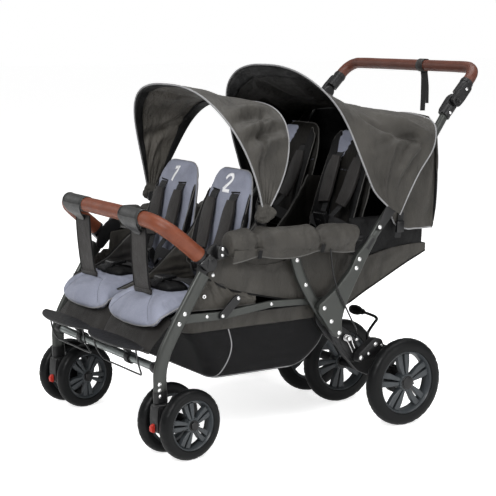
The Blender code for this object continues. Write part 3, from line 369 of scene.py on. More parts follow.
MATS = {
    "shell": cloth("taupe_cloth", (0.034, 0.0315, 0.0275), (0.052, 0.0485, 0.0425)),
    "lining": cloth("taupe_lining", (0.044, 0.0405, 0.0345), (0.066, 0.0610, 0.0530)),
    "hood_lining": cloth("taupe_hood_lining", (0.064, 0.0590, 0.0510), (0.098, 0.0905, 0.0790), crinkle=0.9),
    "inside": cloth("dark_lining", (0.008, 0.0074, 0.0064), (0.014, 0.0130, 0.0114), sheen=0.0),
    "calf": cloth("brown_black_cloth", (0.0110, 0.0098, 0.0088), (0.0175, 0.0158, 0.0142), crinkle=0.25),
    "pad": cloth("blue_grey_pad", (0.195, 0.207, 0.262), (0.265, 0.280, 0.348), 0.0012, 0.06, 0.2, 0.7, 0.35),
    "black": cloth("black_cloth", (0.005, 0.005, 0.0053), (0.010, 0.0100, 0.0102), sheen=0.0),
    "charcoal": cloth("charcoal_cloth", (0.022, 0.0203, 0.0195), (0.034, 0.0315, 0.0300), crinkle=0.35),
    "collar": leatherette("grey_leatherette", (0.028, 0.0285, 0.0280), (0.042, 0.0425, 0.0415)),
    "seam": cloth("seam_grey", (0.120, 0.128, 0.160), (0.160, 0.168, 0.210), crinkle=0.1),
    "piping": cloth("light_piping", (0.19, 0.19, 0.195), (0.27, 0.27, 0.275), 0.0008, crinkle=0.1),
    # painted shade: a darker copy of the light piping, used for piping that lies in shade
    "piping_dim": cloth("grey_piping_painted_shade", (0.070, 0.068, 0.064), (0.105, 0.102, 0.096), 0.0008, crinkle=0.1),
    "mesh": net("black_net", (0.007, 0.007, 0.0075)),
    "strap": webbing("black_webbing", (0.007, 0.007, 0.0075), (0.020, 0.020, 0.021)),
    "leather": leatherette("tan_leatherette", (0.135, 0.034, 0.0145), (0.200, 0.054, 0.0235)),
    "leather_dark": leatherette("brown_leatherette", (0.078, 0.024, 0.0145), (0.118, 0.038, 0.0235)),
    "frame": paint("frame_paint", (0.047, 0.0500, 0.0465)),
    "frame_light": paint("tube_silver_grey", (0.21, 0.23, 0.225), 0.34, 0.7),
    "plastic": plastic("black_plastic", (0.008, 0.008, 0.0085), 0.40),
    "gloss": plastic("black_gloss", (0.008, 0.008, 0.0085), 0.22, 0.03),
    "rim": plastic("rim_plastic", (0.036, 0.041, 0.045), 0.32, 0.05),
    "tyre": plastic("tyre_rubber", (0.0030, 0.0033, 0.0036), 0.42, 0.10, 500, 0.16),
    "steel": metal("bright_steel", (0.78, 0.78, 0.78)),
    "red": plastic("red_polymer", (0.42, 0.03, 0.02), 0.4),
    "thread": plastic("tan_thread", (0.34, 0.13, 0.070), 0.7, 0.02),
    "print": plastic("white_print", (0.80, 0.80, 0.82), 0.5, 0.02),
}

# The slots of hard pieces.
SLOTS = {"frame": "frame", "frame_light": "frame", "plastic": "plastic", "gloss": "plastic", "red": "plastic",
         "steel": "steel", "tyre": "tyre"}


# Shape helpers

def at(x, y, z):
    """A point given by its side-view place."""
    return Vector((x, y + SHIFT, z))


def make(name, bm, mat, body, angle=40, stands_for=None, slot=None):
    """An object from a bmesh, riding on a body, that hides the frame node it replaces; its slot is looked up
    but not kept.
    """
    bmesh.ops.remove_doubles(bm, verts=bm.verts, dist=1e-6)
    bmesh.ops.recalc_face_normals(bm, faces=bm.faces)
    mesh = bpy.data.meshes.new(name)
    bm.to_mesh(mesh)
    bm.free()
    mesh.shade_smooth()
    mesh.set_sharp_from_angle(angle=angle * DEG)
    obj = bpy.data.objects.new(name, mesh)
    bpy.context.scene.collection.objects.link(obj)
    mesh.materials.append(MATS[mat])
    if body:
        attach(obj, body)
        slot = slot or SLOTS.get(mat)
    if stands_for:
        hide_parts(stands_for)
    return obj


def apply_modifiers(obj):
    """Makes the object's modifiers real."""
    graph = bpy.context.evaluated_depsgraph_get()
    mesh = bpy.data.meshes.new_from_object(obj.evaluated_get(graph))
    mesh.name = obj.name
    obj.modifiers.clear()
    obj.data = mesh


def smooth_path(points, count):
    """A smooth curve through the points, read at evenly spread steps."""
    pts = [Vector(p) for p in points]
    ends = [2 * pts[0] - pts[1]] + pts + [2 * pts[-1] - pts[-2]]
    spans = len(pts) - 1
    path = []
    for i in range(count + 1):
        step = i * spans / count
        k = min(int(step), spans - 1)
        t = step - k
        a, b, c, d = ends[k:k + 4]
        path.append(0.5 * ((2 * b) + (c - a) * t + (2 * a - 5 * b + 4 * c - d) * t * t
                           + (3 * b - a - 3 * c + d) * t ** 3))
    return path


def flat_curve(points, count):
    """A smooth curve through side-view points, before they are placed."""
    return smooth_path([(0, y, z) for y, z in points], count)


def mirrored(half, middle=()):
    """A line across the stroller: its left half from the outside in, the middle, and the right half."""
    return [*half, *middle, *((-x, y, z) for x, y, z in reversed(half))]


def flipped(line):
    """A line of (across, along) on the other side of its middle."""
    return [(-a, b) for a, b in line]


def read_along(values, t):
    """A value read between evenly spread ones, at t from 0 to 1."""
    step = t * (len(values) - 1)
    k = min(int(step), len(values) - 2)
    return values[k] + (values[k + 1] - values[k]) * (step - k)


def oval(half_u, half_v, sides=20, power=2.0):
    """A closed section; a power over 2 flattens its sides."""
    out = []
    for i in range(sides):
        a = 2 * math.pi * (i + 0.5) / sides
        c, s = math.cos(a), math.sin(a)
        out.append((half_u * math.copysign(abs(c) ** (2 / power), c),
                    half_v * math.copysign(abs(s) ** (2 / power), s)))
    return out


def bridged(bm, rings, closed=False):
    """Faces between rings that follow each other; open ends are capped."""
    pairs = list(zip(rings, rings[1:])) + ([(rings[-1], rings[0])] if closed else [])
    for first, second in pairs:
        for k in range(len(first)):
            bm.faces.new((first[k - 1], first[k], second[k], second[k - 1]))
    if not closed:
        bm.faces.new(rings[0])
        bm.faces.new(rings[-1])
    return bm


def sweep(path, sections, side=(1, 0, 0)):
    """Rings lofted along a path. A section is a list of (u, v): v along side, u square to it."""
    pts = [Vector(p) for p in path]
    side = Vector(side)
    if isinstance(sections[0][0], (int, float)):
        sections = [sections] * len(pts)
    bm = bmesh.new()
    rings = []
    for i, (centre, section) in enumerate(zip(pts, sections)):
        along = (pts[min(i + 1, len(pts) - 1)] - pts[max(i - 1, 0)]).normalized()
        flat = (side - along * side.dot(along)).normalized()
        across = along.cross(flat)
        rings.append([bm.verts.new(centre + across * u + flat * v) for u, v in section])
    return bridged(bm, rings)


def free_sweep(path, section, closed=False):
    """A sweep whose section is carried along without twist, for lines that turn any way."""
    pts = [Vector(p) for p in path]
    count = len(pts)
    bm = bmesh.new()
    normal, rings = None, []
    for i, centre in enumerate(pts):
        before = pts[i - 1] if i or closed else centre
        after = pts[(i + 1) % count] if i + 1 < count or closed else centre
        along = (after - before).normalized()
        if normal is None:
            normal = along.orthogonal().normalized()
        normal = (normal - along * normal.dot(along)).normalized()
        across = along.cross(normal)
        rings.append([bm.verts.new(centre + across * u + normal * v) for u, v in section])
    return bridged(bm, rings, closed)


def merged(parts):
    """Several bmeshes as one."""
    whole = bmesh.new()
    for part in parts:
        mesh = bpy.data.meshes.new("part")
        part.to_mesh(mesh)
        part.free()
        whole.from_mesh(mesh)
        bpy.data.meshes.remove(mesh)
    return whole


def turned(profile, steps, centre=(0, 0, 0), axis=(1, 0, 0)):
    """Spins a closed profile of (along, radius) points about an axis through the centre."""
    bm = bmesh.new()
    rings = []
    for k in range(steps):
        a = 2 * math.pi * k / steps
        rings.append([bm.verts.new((x, r * math.sin(a), -r * math.cos(a))) for x, r in profile])
    for k in range(steps):
        first, second = rings[k - 1], rings[k]
        for i in range(len(profile)):
            bm.faces.new((first[i - 1], first[i], second[i], second[i - 1]))
    bmesh.ops.remove_doubles(bm, verts=bm.verts, dist=1e-7)
    turn = Vector((1, 0, 0)).rotation_difference(Vector(axis)).to_matrix().to_4x4()
    bmesh.ops.transform(bm, matrix=Matrix.Translation(Vector(centre)) @ turn, verts=bm.verts)
    return bm


def rivet(centre, axis, radius=0.0045, height=0.0022):
    """A domed rivet head on a thin washer."""
    profile = [(-0.002, 0), (-0.002, radius * 1.25), (0.0004, radius * 1.25), (0.0006, radius),
               (height * 0.55, radius * 0.86), (height * 0.9, radius * 0.5), (height, 0)]
    return turned(profile, 14, centre, axis)


def rounded(points, radius=0.004, steps=4):
    """A closed outline with its corners rounded off."""
    out = []
    for k, point in enumerate(points):
        here = Vector(point)
        before, after = Vector(points[k - 1]) - here, Vector(points[(k + 1) % len(points)]) - here
        reach = min(radius, before.length * 0.45, after.length * 0.45)
        start, end = here + before.normalized() * reach, here + after.normalized() * reach
        for i in range(steps + 1):
            t = i / steps
            out.append(tuple((1 - t) ** 2 * start + 2 * t * (1 - t) * here + t * t * end))
    return out


def plate(outline, x_low, x_high, bevel=0.0, segments=2):
    """A side-view outline given thickness along X, with softened rims."""
    bm = bmesh.new()
    face = bm.faces.new([bm.verts.new((x_low, y + SHIFT, z)) for y, z in outline])
    up = bmesh.ops.extrude_face_region(bm, geom=[face])
    top = [v for v in up["geom"] if isinstance(v, bmesh.types.BMVert)]
    bmesh.ops.translate(bm, verts=top, vec=(x_high - x_low, 0, 0))
    if bevel:
        rims = [e for e in bm.edges if abs(e.verts[0].co.x - e.verts[1].co.x) < 1e-9]
        bmesh.ops.bevel(bm, geom=rims, offset=bevel, segments=segments, profile=0.6,
                        affect="EDGES", material=-1)
    return bm


def slab(outline, side, near, far, bevel=0.0, segments=2):
    """A plate on one side of the stroller, between two distances from its middle."""
    return plate(outline, *sorted((side * near, side * far)), bevel, segments)


def sheet_area(rows):
    """Area of a sheet given by rows of points."""
    total = 0.0
    for first, second in zip(rows, rows[1:]):
        for k in range(1, len(first)):
            a, b, c, d = first[k - 1], first[k], second[k], second[k - 1]
            total += (b - a).cross(c - a).length / 2 + (c - a).cross(d - a).length / 2
    return total


def grid_mesh(rows, wrap=False):
    """Quads between rows of points; wrap closes each row."""
    bm = bmesh.new()
    verts = [[bm.verts.new(p) for p in row] for row in rows]
    for first, second in zip(verts, verts[1:]):
        span = range(len(first)) if wrap else range(1, len(first))
        for k in span:
            bm.faces.new((first[k - 1], first[k], second[k], second[k - 1]))
    return bm


def cloth_sheet(name, rows, mat, body, thick=0.002, offset=-1, levels=1, inner=None, wrap=False):
    """Rows of points as one sheet of cloth with its thickness; inner is its lining's material."""
    obj = make(name, grid_mesh(rows, wrap), mat, None, 180)
    solid = thicken(obj, thick, offset)
    if inner:
        obj.data.materials.append(MATS[inner])
        solid.material_offset = 1
        solid.material_offset_rim = 0
    if levels:
        add_smoothing(obj, levels)
    apply_modifiers(obj)
    obj.data.shade_smooth()
    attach(obj, body)
    return obj


def thicken(obj, thick, offset=-1):
    """A modifier that gives a sheet its thickness."""
    solid = obj.modifiers.new("thickness", "SOLIDIFY")
    solid.thickness, solid.offset = thick, offset
    return solid


def add_smoothing(obj, levels=1):
    """A subdivision modifier."""
    sub = obj.modifiers.new("smooth", "SUBSURF")
    sub.levels = sub.render_levels = levels


def crease(u, v, a, b, width, depth):
    """Height of a soft fold that runs from a to b on a sheet, at (u, v)."""
    ax, ay, bx, by = a[0], a[1], b[0], b[1]
    dx, dy = bx - ax, by - ay
    t = max(0.0, min(1.0, ((u - ax) * dx + (v - ay) * dy) / (dx * dx + dy * dy)))
    far = math.hypot(u - ax - dx * t, v - ay - dy * t) / width
    fade = math.sin(math.pi * (0.12 + 0.76 * t))
    return depth * fade * (math.exp(-far * far) - 0.45 * math.exp(-((far - 1.7) ** 2)))


def creases(folds, u, v, squeeze=1):
    """Height of several folds (from, to, width, depth); squeeze shortens the sheet's second way."""
    return sum(crease(u, v * squeeze, (a[0], a[1] * squeeze), (b[0], b[1] * squeeze), width, depth)
               for a, b, width, depth in folds)


def wobble(x, y, z, scale, seed=0.0):
    """Smooth noise from -1 to 1 at a place; scale is in bumps per metre."""
    return noise.noise(Vector((x * scale + seed, y * scale - seed, z * scale + 2 * seed)))


def push_out(rows, height):
    """Moves each point of a sheet along its normal by height(u, v, point)."""
    count, width = len(rows), len(rows[0])
    out = []
    for i in range(count):
        line = []
        for k in range(width):
            du = Vector(rows[i][min(k + 1, width - 1)]) - Vector(rows[i][max(k - 1, 0)])
            dv = Vector(rows[min(i + 1, count - 1)][k]) - Vector(rows[max(i - 1, 0)][k])
            normal = du.cross(dv)
            normal = normal.normalized() if normal.length > 1e-12 else Vector((0, 0, 1))
            point = Vector(rows[i][k])
            line.append(point + normal * height(k / (width - 1), i / (count - 1), point))
        out.append(line)
    return out


def resample(rows, count, width):
    """A finer grid through a coarse one, smooth both ways."""
    lines = [smooth_path(row, width) for row in rows]
    columns = [smooth_path([line[k] for line in lines], count) for k in range(width + 1)]
    return [[columns[k][i] for k in range(width + 1)] for i in range(count + 1)]


def cord_line(name, points, radius, mat, body, count=None, closed=False):
    """A thin round line, such as piping or a seam's cord, through the points."""
    path = smooth_path(points, count) if count else points
    return make(name, free_sweep(path, oval(radius, radius, 8), closed), mat, body, 60)


def ribbon(name, points, width, thick, mat, body, side=(1, 0, 0), count=20, widths=None, soft=0.35):
    """A flat strap along the points; side is the direction of its width."""
    path = smooth_path(points, count)
    sections = []
    for i in range(len(path)):
        w = width * (read_along(widths, i / count) if widths else 1.0)
        h, t = w / 2, thick / 2
        sections.append([(-t, -h + t * soft), (-t * 0.4, -h), (t * 0.4, -h), (t, -h + t * soft),
                         (t * 1.1, 0), (t, h - t * soft), (t * 0.4, h), (-t * 0.4, h),
                         (-t, h - t * soft), (-t * 1.1, 0)])
    return make(name, sweep(path, sections, side), mat, body, 50)


def stitches(name, points, mat, body, pitch, size):
    """A run of separate stitches along the points, each 55% of its pitch long."""
    length = 0.55
    path = [Vector(p) for p in points]
    lengths = [0.0]
    for a, b in zip(path, path[1:]):
        lengths.append(lengths[-1] + (b - a).length)

    def read(distance):
        """The point at a distance along the path."""
        for k in range(1, len(path)):
            if distance <= lengths[k]:
                t = (distance - lengths[k - 1]) / max(lengths[k] - lengths[k - 1], 1e-9)
                return path[k - 1].lerp(path[k], t)
        return path[-1]

    parts, start = [], pitch * 0.3
    while start + pitch * length < lengths[-1]:
        a, b = read(start), read(start + pitch * length)
        parts.append(free_sweep([a, (a + b) / 2, b], oval(size, size, 5)))
        start += pitch
    return make(name, merged(parts), mat, body, 60)


# Wheels

def arm_outline(radius, near, far):
    """One arm of a split spoke: from the hub to the rim, between two angles at each end."""
    bead = radius * BEAD
    inner, outer = radius * HUB - 0.001, bead - 0.006
    middle = (inner + outer) * 0.56
    pts = [(inner, near[0]), (middle, (near[0] + far[0]) / 2), (outer, far[0]),
           (outer, far[1]), (middle, near[1] * 0.42 + far[1] * 0.58), (inner, near[1])]
    return [(r * math.cos(a), r * math.sin(a)) for r, a in pts]


def wheel_rim(radius, width):
    """Rim with split spokes, a stepped hub and a nub between spokes; the outer face is at +X."""
    bead, half, hub = radius * BEAD, width * RIM_HALF, radius * HUB
    barrel = [(-half, bead - 0.0070), (-half, bead), (half, bead), (half + 0.0006, bead - 0.0020),
              (half - 0.0010, bead - 0.0034), (half - 0.0060, bead - 0.0048), (half - 0.0100, bead - 0.0072),
              (0.001, bead - 0.0088), (-half * 0.6, bead - 0.0074)]
    parts = [turned(barrel, 72)]
    boss = [(-half - 0.0015, 0), (-half - 0.0015, hub), (-0.002, hub + 0.004), (0.006, hub + 0.004),
            (0.0085, hub + 0.0025), (half, hub + 0.0005), (half + 0.0012, hub - 0.0012), (half + 0.0012, 0)]
    parts.append(turned(boss, 48))
    for k in range(SPOKES):
        turn = 2 * math.pi * k / SPOKES + math.pi / 2
        for way in (1, -1):
            pts = arm_outline(radius, (way * 0.075, way * 0.44), (way * 0.047, way * 0.262))
            spun = [(y * math.cos(turn) - z * math.sin(turn), y * math.sin(turn) + z * math.cos(turn))
                    for y, z in pts]
            bm = bmesh.new()
            low = [bm.verts.new((-0.0025, y, z)) for y, z in spun]
            face = bm.faces.new(low)
            up = bmesh.ops.extrude_face_region(bm, geom=[face])
            top = [v for v in up["geom"] if isinstance(v, bmesh.types.BMVert)]
            for vert in top:
                reach = (vert.co.yz.length - hub) / (bead - hub)
                vert.co.x = 0.0105 + 0.0035 * (1 - reach) ** 2
            rims = [e for e in bm.edges if e.verts[0].co.x > 0.005 and e.verts[1].co.x > 0.005]
            bmesh.ops.bevel(bm, geom=rims, offset=0.0016, segments=3, profile=0.6, affect="EDGES",
                            material=-1)
            parts.append(bm)
        root = turn + math.pi / SPOKES
        nub = turned([(0.004, 0), (0.004, 0.0032), (half + 0.0004, 0.0028), (half + 0.0016, 0.0016),
                      (half + 0.0016, 0)], 10,
                     (0, (hub + 0.0008) * math.cos(root), (hub + 0.0008) * math.sin(root)))
        parts.append(nub)
    return merged(parts)


def wheel_tyre(radius, width):
    """Round-shouldered tyre with shallow tread cuts along both edges of the tread."""
    bead = radius * BEAD + 0.0002
    half = width / 2
    profile = [(-half * 0.84, bead), (-half * 0.95, bead + 0.0022), (-half, radius * 0.80),
               (-half * 0.985, radius * 0.845), (-half * 0.93, radius * 0.895),
               (-half * 0.82, radius * 0.938), (-half * 0.62, radius * 0.972), (-half * 0.36, radius * 0.993),
               (-half * 0.12, radius), (-half * 0.035, radius), (0, radius - 0.0009), (half * 0.035, radius),
               (half * 0.12, radius), (half * 0.36, radius * 0.993), (half * 0.62, radius * 0.972),
               (half * 0.82, radius * 0.938), (half * 0.93, radius * 0.895), (half * 0.985, radius * 0.845),
               (half, radius * 0.80), (half * 0.95, bead + 0.0022), (half * 0.84, bead)]
    bm = turned(profile, TREAD_STEPS)
    for vert in bm.verts:
        far = vert.co.yz.length
        place = abs(vert.co.x) / half
        if 0.30 < place < 0.70 and far > radius * 0.95:
            k = round(math.atan2(vert.co.z, vert.co.y) / (2 * math.pi) * TREAD_STEPS)
            if (k + (2 if vert.co.x > 0 else 0)) % 4 == 0:
                vert.co.y *= (far - 0.0011) / far
                vert.co.z *= (far - 0.0011) / far
    return bm


def hub_cap(radius, width):
    """Black cap in the hub, with a ring of grip notches."""
    half, hub = width * RIM_HALF, radius * HUB
    top = half + 0.0032
    bm = turned([(half - 0.002, 0), (half - 0.002, hub * 0.86), (top - 0.0008, hub * 0.86), (top, hub * 0.80),
                 (top, hub * 0.50), (top - 0.0010, hub * 0.46), (top - 0.0010, 0)], HUB_STEPS)
    for vert in bm.verts:
        far = vert.co.yz.length
        if far > hub * 0.75:
            k = round(math.atan2(vert.co.z, vert.co.y) / (2 * math.pi) * HUB_STEPS)
            if k % 4 == 0:
                vert.co.y *= 0.93
                vert.co.z *= 0.93
    return bm


def wheel_set(radius, width, stem):
    """Meshes of one wheel, shared by all wheels of its size."""
    made = {}
    for part, bm, mat in (("rim", wheel_rim(radius, width), "rim"),
                          ("tyre", wheel_tyre(radius, width), "tyre"),
                          ("cap", hub_cap(radius, width), "gloss")):
        obj = make(f"{stem}_{part}", bm, mat, None, 32)
        made[part] = obj.data
        bpy.data.objects.remove(obj, do_unlink=True)
    return made


def place_wheel(meshes, name, matrix, body, nodes):
    """One wheel's pieces at their place; nodes gives the frame node that a piece replaces."""
    for part, mesh in meshes.items():
        own = mesh.copy()
        own.transform(matrix)
        piece = bpy.data.objects.new(f"{name}_{part}", own)
        bpy.context.scene.collection.objects.link(piece)
        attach(piece, body)
        if nodes.get(part):
            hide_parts(nodes[part])


def swivel(side):
    """Turns a caster about its stem and puts it under its leg."""
    return Matrix.Translation((side * FRAME_X, CASTER_Y + SHIFT, 0)) @ Matrix.Rotation(CASTER_TURN, 4, "Z")


def add_wheels():
    """Four caster wheels and four rear wheels, hub caps outward, each turned a little differently."""
    front = wheel_set(FRONT_RADIUS, FRONT_WIDTH, "front")
    rear = wheel_set(REAR_RADIUS, REAR_WIDTH, "rear")
    for word, side in SIDES:
        for place, x in FRONT_WHEEL_X:
            out = side * x
            seat = Matrix.Translation((out, FRONT_HUB_Y - CASTER_Y, FRONT_RADIUS))
            face = Matrix.Rotation(0 if out > 0 else math.pi, 4, "Z")
            spin = Matrix.Rotation((12 if place == "outer" else 40) * DEG, 4, "X")
            name = f"front_wheel_{word}_{place}"
            place_wheel(front, f"detail_{name}", swivel(side) @ seat @ face @ spin, name, {"rim": name})
        for place, x in REAR_WHEEL_X:
            seat = Matrix.Translation((side * x, REAR_HUB_Y + SHIFT, REAR_RADIUS))
            face = Matrix.Rotation(0 if side > 0 else math.pi, 4, "Z")
            spin = Matrix.Rotation((6 if place == "outer" else 27) * DEG, 4, "X")
            body = f"rear_wheel_{word}_{place}"
            place_wheel(rear, f"detail_{body}", seat @ face @ spin, body,
                        {"rim": f"rear_rim_{word}_{place}", "tyre": f"rear_tyre_{word}_{place}"})


# Casters

def add_casters():
    """Fork with a stem sleeve and the red direction lever."""
    low, hub = FRONT_RADIUS, FRONT_HUB_Y - CASTER_Y
    for word, side in SIDES:
        outline = rounded([(-0.020, 0.1455), (-0.0235, 0.110), (-0.0215, 0.076), (0.004, 0.064),
                           (hub - 0.006, low - 0.018), (hub + 0.018, low - 0.010), (hub + 0.020, low + 0.010),
                           (hub + 0.003, low + 0.021), (0.0235, 0.127), (0.0200, 0.1455)], 0.008, 5)
        fork = plate([(y - SHIFT, z) for y, z in outline], -0.0165, 0.0165, 0.004, 3)
        rib = plate([(y * 0.80 + 0.001 - SHIFT, z * 0.86 + 0.013) for y, z in outline], -0.0178, 0.0178,
                    0.0015, 2)
        axle = turned([(-0.0685, 0), (-0.0685, 0.009), (-0.0665, 0.0105), (-0.0655, 0.0105), (-0.0655, 0.006),
                       (-0.024, 0.006), (-0.024, 0.011), (0.024, 0.011), (0.024, 0.006), (0.0655, 0.006),
                       (0.0655, 0.0105), (0.0665, 0.0105), (0.0685, 0.009), (0.0685, 0)], 24, (0, hub, low))
        collar = turned([(0, 0), (0, 0.0195), (0.003, 0.0205), (0.012, 0.0205), (0.014, 0.0185), (0.014, 0)],
                        36, (0, 0, 0.1325), (0, 0, 1))
        bm = merged([fork, rib, axle, collar])
        bmesh.ops.transform(bm, matrix=swivel(side), verts=bm.verts)
        make(f"detail_fork_{word}", bm, "plastic", f"caster_{word}", 35, f"caster_fork_{word}")
        tab = plate([(y - SHIFT, z) for y, z in rounded([(-0.0275, 0.096), (-0.0330, 0.090), (-0.0315, 0.078),
                    (-0.0235, 0.074), (-0.0185, 0.080), (-0.0185, 0.098)], 0.003, 3)], -0.0050, 0.0050,
                    0.0015)
        bmesh.ops.transform(tab, matrix=swivel(side), verts=tab.verts)
        make(f"lever_{word}", tab, "red", f"caster_{word}")
        nuts = merged([rivet((0.0178, y, z), (1, 0, 0), 0.0042, 0.003)
                       for y, z in ((0.002, 0.128), (0.0, 0.108))])
        bmesh.ops.transform(nuts, matrix=swivel(side), verts=nuts.verts)
        make(f"fork_rivets_{word}", nuts, "steel", f"caster_{word}")


# Side frame

def sided(side, points):
    """Points on one side of the stroller, given by their places on the left."""
    return [at(side * x, y, z) for x, y, z in points]


def side_line(points, x):
    """Side-view points at a distance from the middle."""
    return [at(x, y, z) for y, z in points]


def rivets(name, spots, body, radius=0.0042, height=0.0024):
    """Domed rivets on both sides of the stroller; a spot is (x, y, z) with its head facing +X."""
    for word, side in SIDES:
        parts = [rivet(at(side * x, y, z), (side, 0, 0), radius, height) for x, y, z in spots]
        make(f"{name}_{word}", merged(parts), "steel", body)


def add_legs():
    """Oval front legs in their black feet, and the short curved legs under the arm rails."""
    front = [(-0.487, 0.150), (-0.488, 0.190), (-0.487, 0.228), (-0.475, 0.270), (-0.456, 0.307),
             (-0.433, 0.347), (-0.404, 0.393), (-0.374, 0.440), (-0.3605, 0.461)]
    short = [(-0.0885, 0.4960), (-0.081, 0.470), (-0.066, 0.428), (-0.043, 0.385), (-0.014, 0.341),
             (0.020, 0.296)]
    for word, side in SIDES:
        x = side * FRAME_X
        leg = sweep(smooth_path(side_line(front, x), 48), oval(0.018, 0.0085, 28, 2.7))
        make(f"detail_front_leg_{word}", leg, "frame", "chassis", 50, f"front_leg_{word}")
        leg = sweep(smooth_path(side_line(short, x), 32), oval(0.0145, 0.0085, 24, 2.7))
        make(f"detail_short_leg_{word}", leg, "frame", "chassis", 50, f"short_leg_{word}")
        foot = [(-0.487, 0.1485), (-0.488, 0.178)]
        sleeve = sweep(smooth_path(side_line(foot, x), 4), oval(0.0192, 0.0098, 28, 2.7))
        make(f"leg_sleeve_{word}", sleeve, "plastic", "chassis")
    high = 0.3085
    rivets("leg_rivets", [(high, -0.420, 0.367), (high, -0.436, 0.343), (high, -0.4935, 0.196),
                          (high, -0.4935, 0.181)], "chassis")
    rivets("foot_rivets", [(high + 0.0013, -0.493, 0.166)], "chassis", 0.0036)
    rivets("short_leg_rivets", [(high, -0.054, 0.405), (high, -0.082, 0.473)], "chassis")


def add_crossbar():
    """The tube between the front legs, with its end sockets."""
    bm = turned([(-0.2912, 0), (-0.2912, 0.0105), (0.2912, 0.0105), (0.2912, 0)], 36,
                at(0, *CROSSBAR))
    make("detail_crossbar", bm, "frame_light", "chassis", 40, "front_crossbar")
    ends = merged([turned([(0, 0.0112), (0, 0.0150), (0.004, 0.0158), (0.020, 0.0145), (0.024, 0.0112)],
                          30, at(side * 0.2908, *CROSSBAR), (-side, 0, 0)) for _, side in SIDES])
    make("crossbar_sockets", ends, "plastic", "chassis")


def add_joints():
    """The black joint at each leg's top and the clip that holds the bumper's end."""
    cheek = rounded([(-0.372, 0.455), (-0.355, 0.446), (-0.325, 0.478), (-0.296, 0.500), (-0.296, 0.522),
                     (-0.318, 0.535), (-0.340, 0.522), (-0.366, 0.490)], 0.010, 5)
    knee = rounded([(-0.322, 0.494), (-0.296, 0.499), (-0.296, 0.523), (-0.316, 0.533), (-0.324, 0.516)],
                   0.007, 5)
    for word, side in SIDES:
        parts = [slab(cheek, side, 0.2795, 0.2868, 0.0015),
                 slab(knee, side, 0.2855, 0.309, 0.003, 3)]
        rail = smooth_path(side_line([(-0.310, 0.508), (-0.290, 0.512), (-0.10, 0.512), (0.130, 0.516)],
                                     side * FRAME_X), 24)
        parts.append(sweep(rail, oval(0.010, 0.010, 20)))
        make(f"detail_arm_rail_{word}", merged(parts), "plastic", "chassis", 35, f"arm_rail_{word}")
        y, z = LEG_TOP
        outline = [(y + 0.0205 * math.cos(a * DEG), z + 0.0205 * math.sin(a * DEG))
                   for a in range(-120, 61, 10)]
        outline += [(y - 0.002, z + 0.026), (y - 0.030, z + 0.0015)]
        clip = slab(rounded(outline, 0.004, 3), side, 0.2875, 0.3095, 0.0035, 3)
        inset = slab(rounded([(y - 0.010, z - 0.011), (y + 0.011, z - 0.009), (y + 0.012, z + 0.010),
                              (y - 0.006, z + 0.014)], 0.004, 4), side, 0.3085, 0.3107, 0.001)
        make(f"detail_bumper_clip_{word}", merged([clip, inset]), "gloss", "bumper", 35,
             f"bumper_clip_{word}")
    rivets("joint_rivets", [(0.3090, -0.3095, 0.507), (0.3090, -0.3085, 0.522)], "chassis", 0.0036)


def add_seat_rails():
    """Flat seat rails with their folding links."""
    outline = rounded([(-0.449, 0.338), (-0.30, 0.336), (-0.15, 0.352), (0.035, 0.345), (0.035, 0.361),
                       (-0.15, 0.370), (-0.30, 0.357), (-0.441, 0.362)], 0.012, 5)
    link = rounded([(-0.311, 0.338), (-0.293, 0.338), (-0.247, 0.383), (-0.252, 0.399), (-0.266, 0.395),
                    (-0.311, 0.353)], 0.007, 5)
    for word, side in SIDES:
        bm = slab(outline, side, 0.2807, 0.2907, 0.002, 3)
        make(f"detail_seat_rail_{word}", bm, "frame", "chassis", 40, f"seat_rail_{word}")
        bm = slab(link, side, 0.2909, 0.2977, 0.0015, 3)
        make(f"rail_link_{word}", bm, "plastic", "chassis")
    rivets("link_rivets", [(0.2977, -0.3025, 0.347), (0.2977, -0.2555, 0.3885)], "chassis", 0.0036)
    rivets("rail_rivets", [(0.2907, -0.150, 0.361), (0.2907, -0.345, 0.349)], "chassis", 0.0034)


def add_brackets():
    """Black suspension bracket with its stamped ribs, washers, pin and spring."""
    outer = rounded([(0.036, 0.302), (0.062, 0.282), (0.092, 0.262), (0.131, 0.203), (0.122, 0.178),
                     (0.094, 0.176), (0.060, 0.216), (0.022, 0.270)], 0.012, 5)
    inner = rounded([(-0.004, 0.330), (0.034, 0.338), (0.066, 0.288), (0.090, 0.256), (0.060, 0.222),
                     (0.016, 0.262), (-0.012, 0.300)], 0.012, 5)
    raised = rounded([(0.048, 0.262), (0.072, 0.252), (0.112, 0.204), (0.106, 0.188), (0.096, 0.188),
                      (0.066, 0.222)], 0.008, 4)
    for word, side in SIDES:
        parts = [slab(outer, side, 0.2915, 0.3080, 0.0025, 3),
                 slab(inner, side, 0.2809, 0.2926, 0.0015, 2),
                 slab(raised, side, 0.3070, 0.3092, 0.0012, 2),
                 turned([(0, 0), (0, 0.0048), (0.0225, 0.0048), (0.0230, 0.0044), (0.0230, 0)], 20,
                        at(side * 0.306, 0.075, 0.249), (side, 0, 0)),
                 turned([(0, 0), (0, 0.010), (0.008, 0.010), (0.008, 0)], 24,
                        at(side * 0.2845, *SUSPENSION), (side, 0, 0))]
        make(f"detail_rear_bracket_{word}", merged(parts), "plastic", "chassis", 35, f"rear_bracket_{word}")
        wire = sweep(smooth_path(spring_route(side), 150), oval(0.0014, 0.0014, 8))
        make(f"detail_spring_{word}", wire, "steel", "chassis", 60, f"torsion_spring_{word}")
    rivets("bracket_rivets", [(0.3092, 0.0385, 0.2690), (0.3092, 0.0520, 0.2555), (0.3080, 0.1150, 0.2380)],
           "chassis", 0.0040)
    rivets("pin_heads", [(0.3290, 0.075, 0.249)], "chassis", 0.0044, 0.0012)


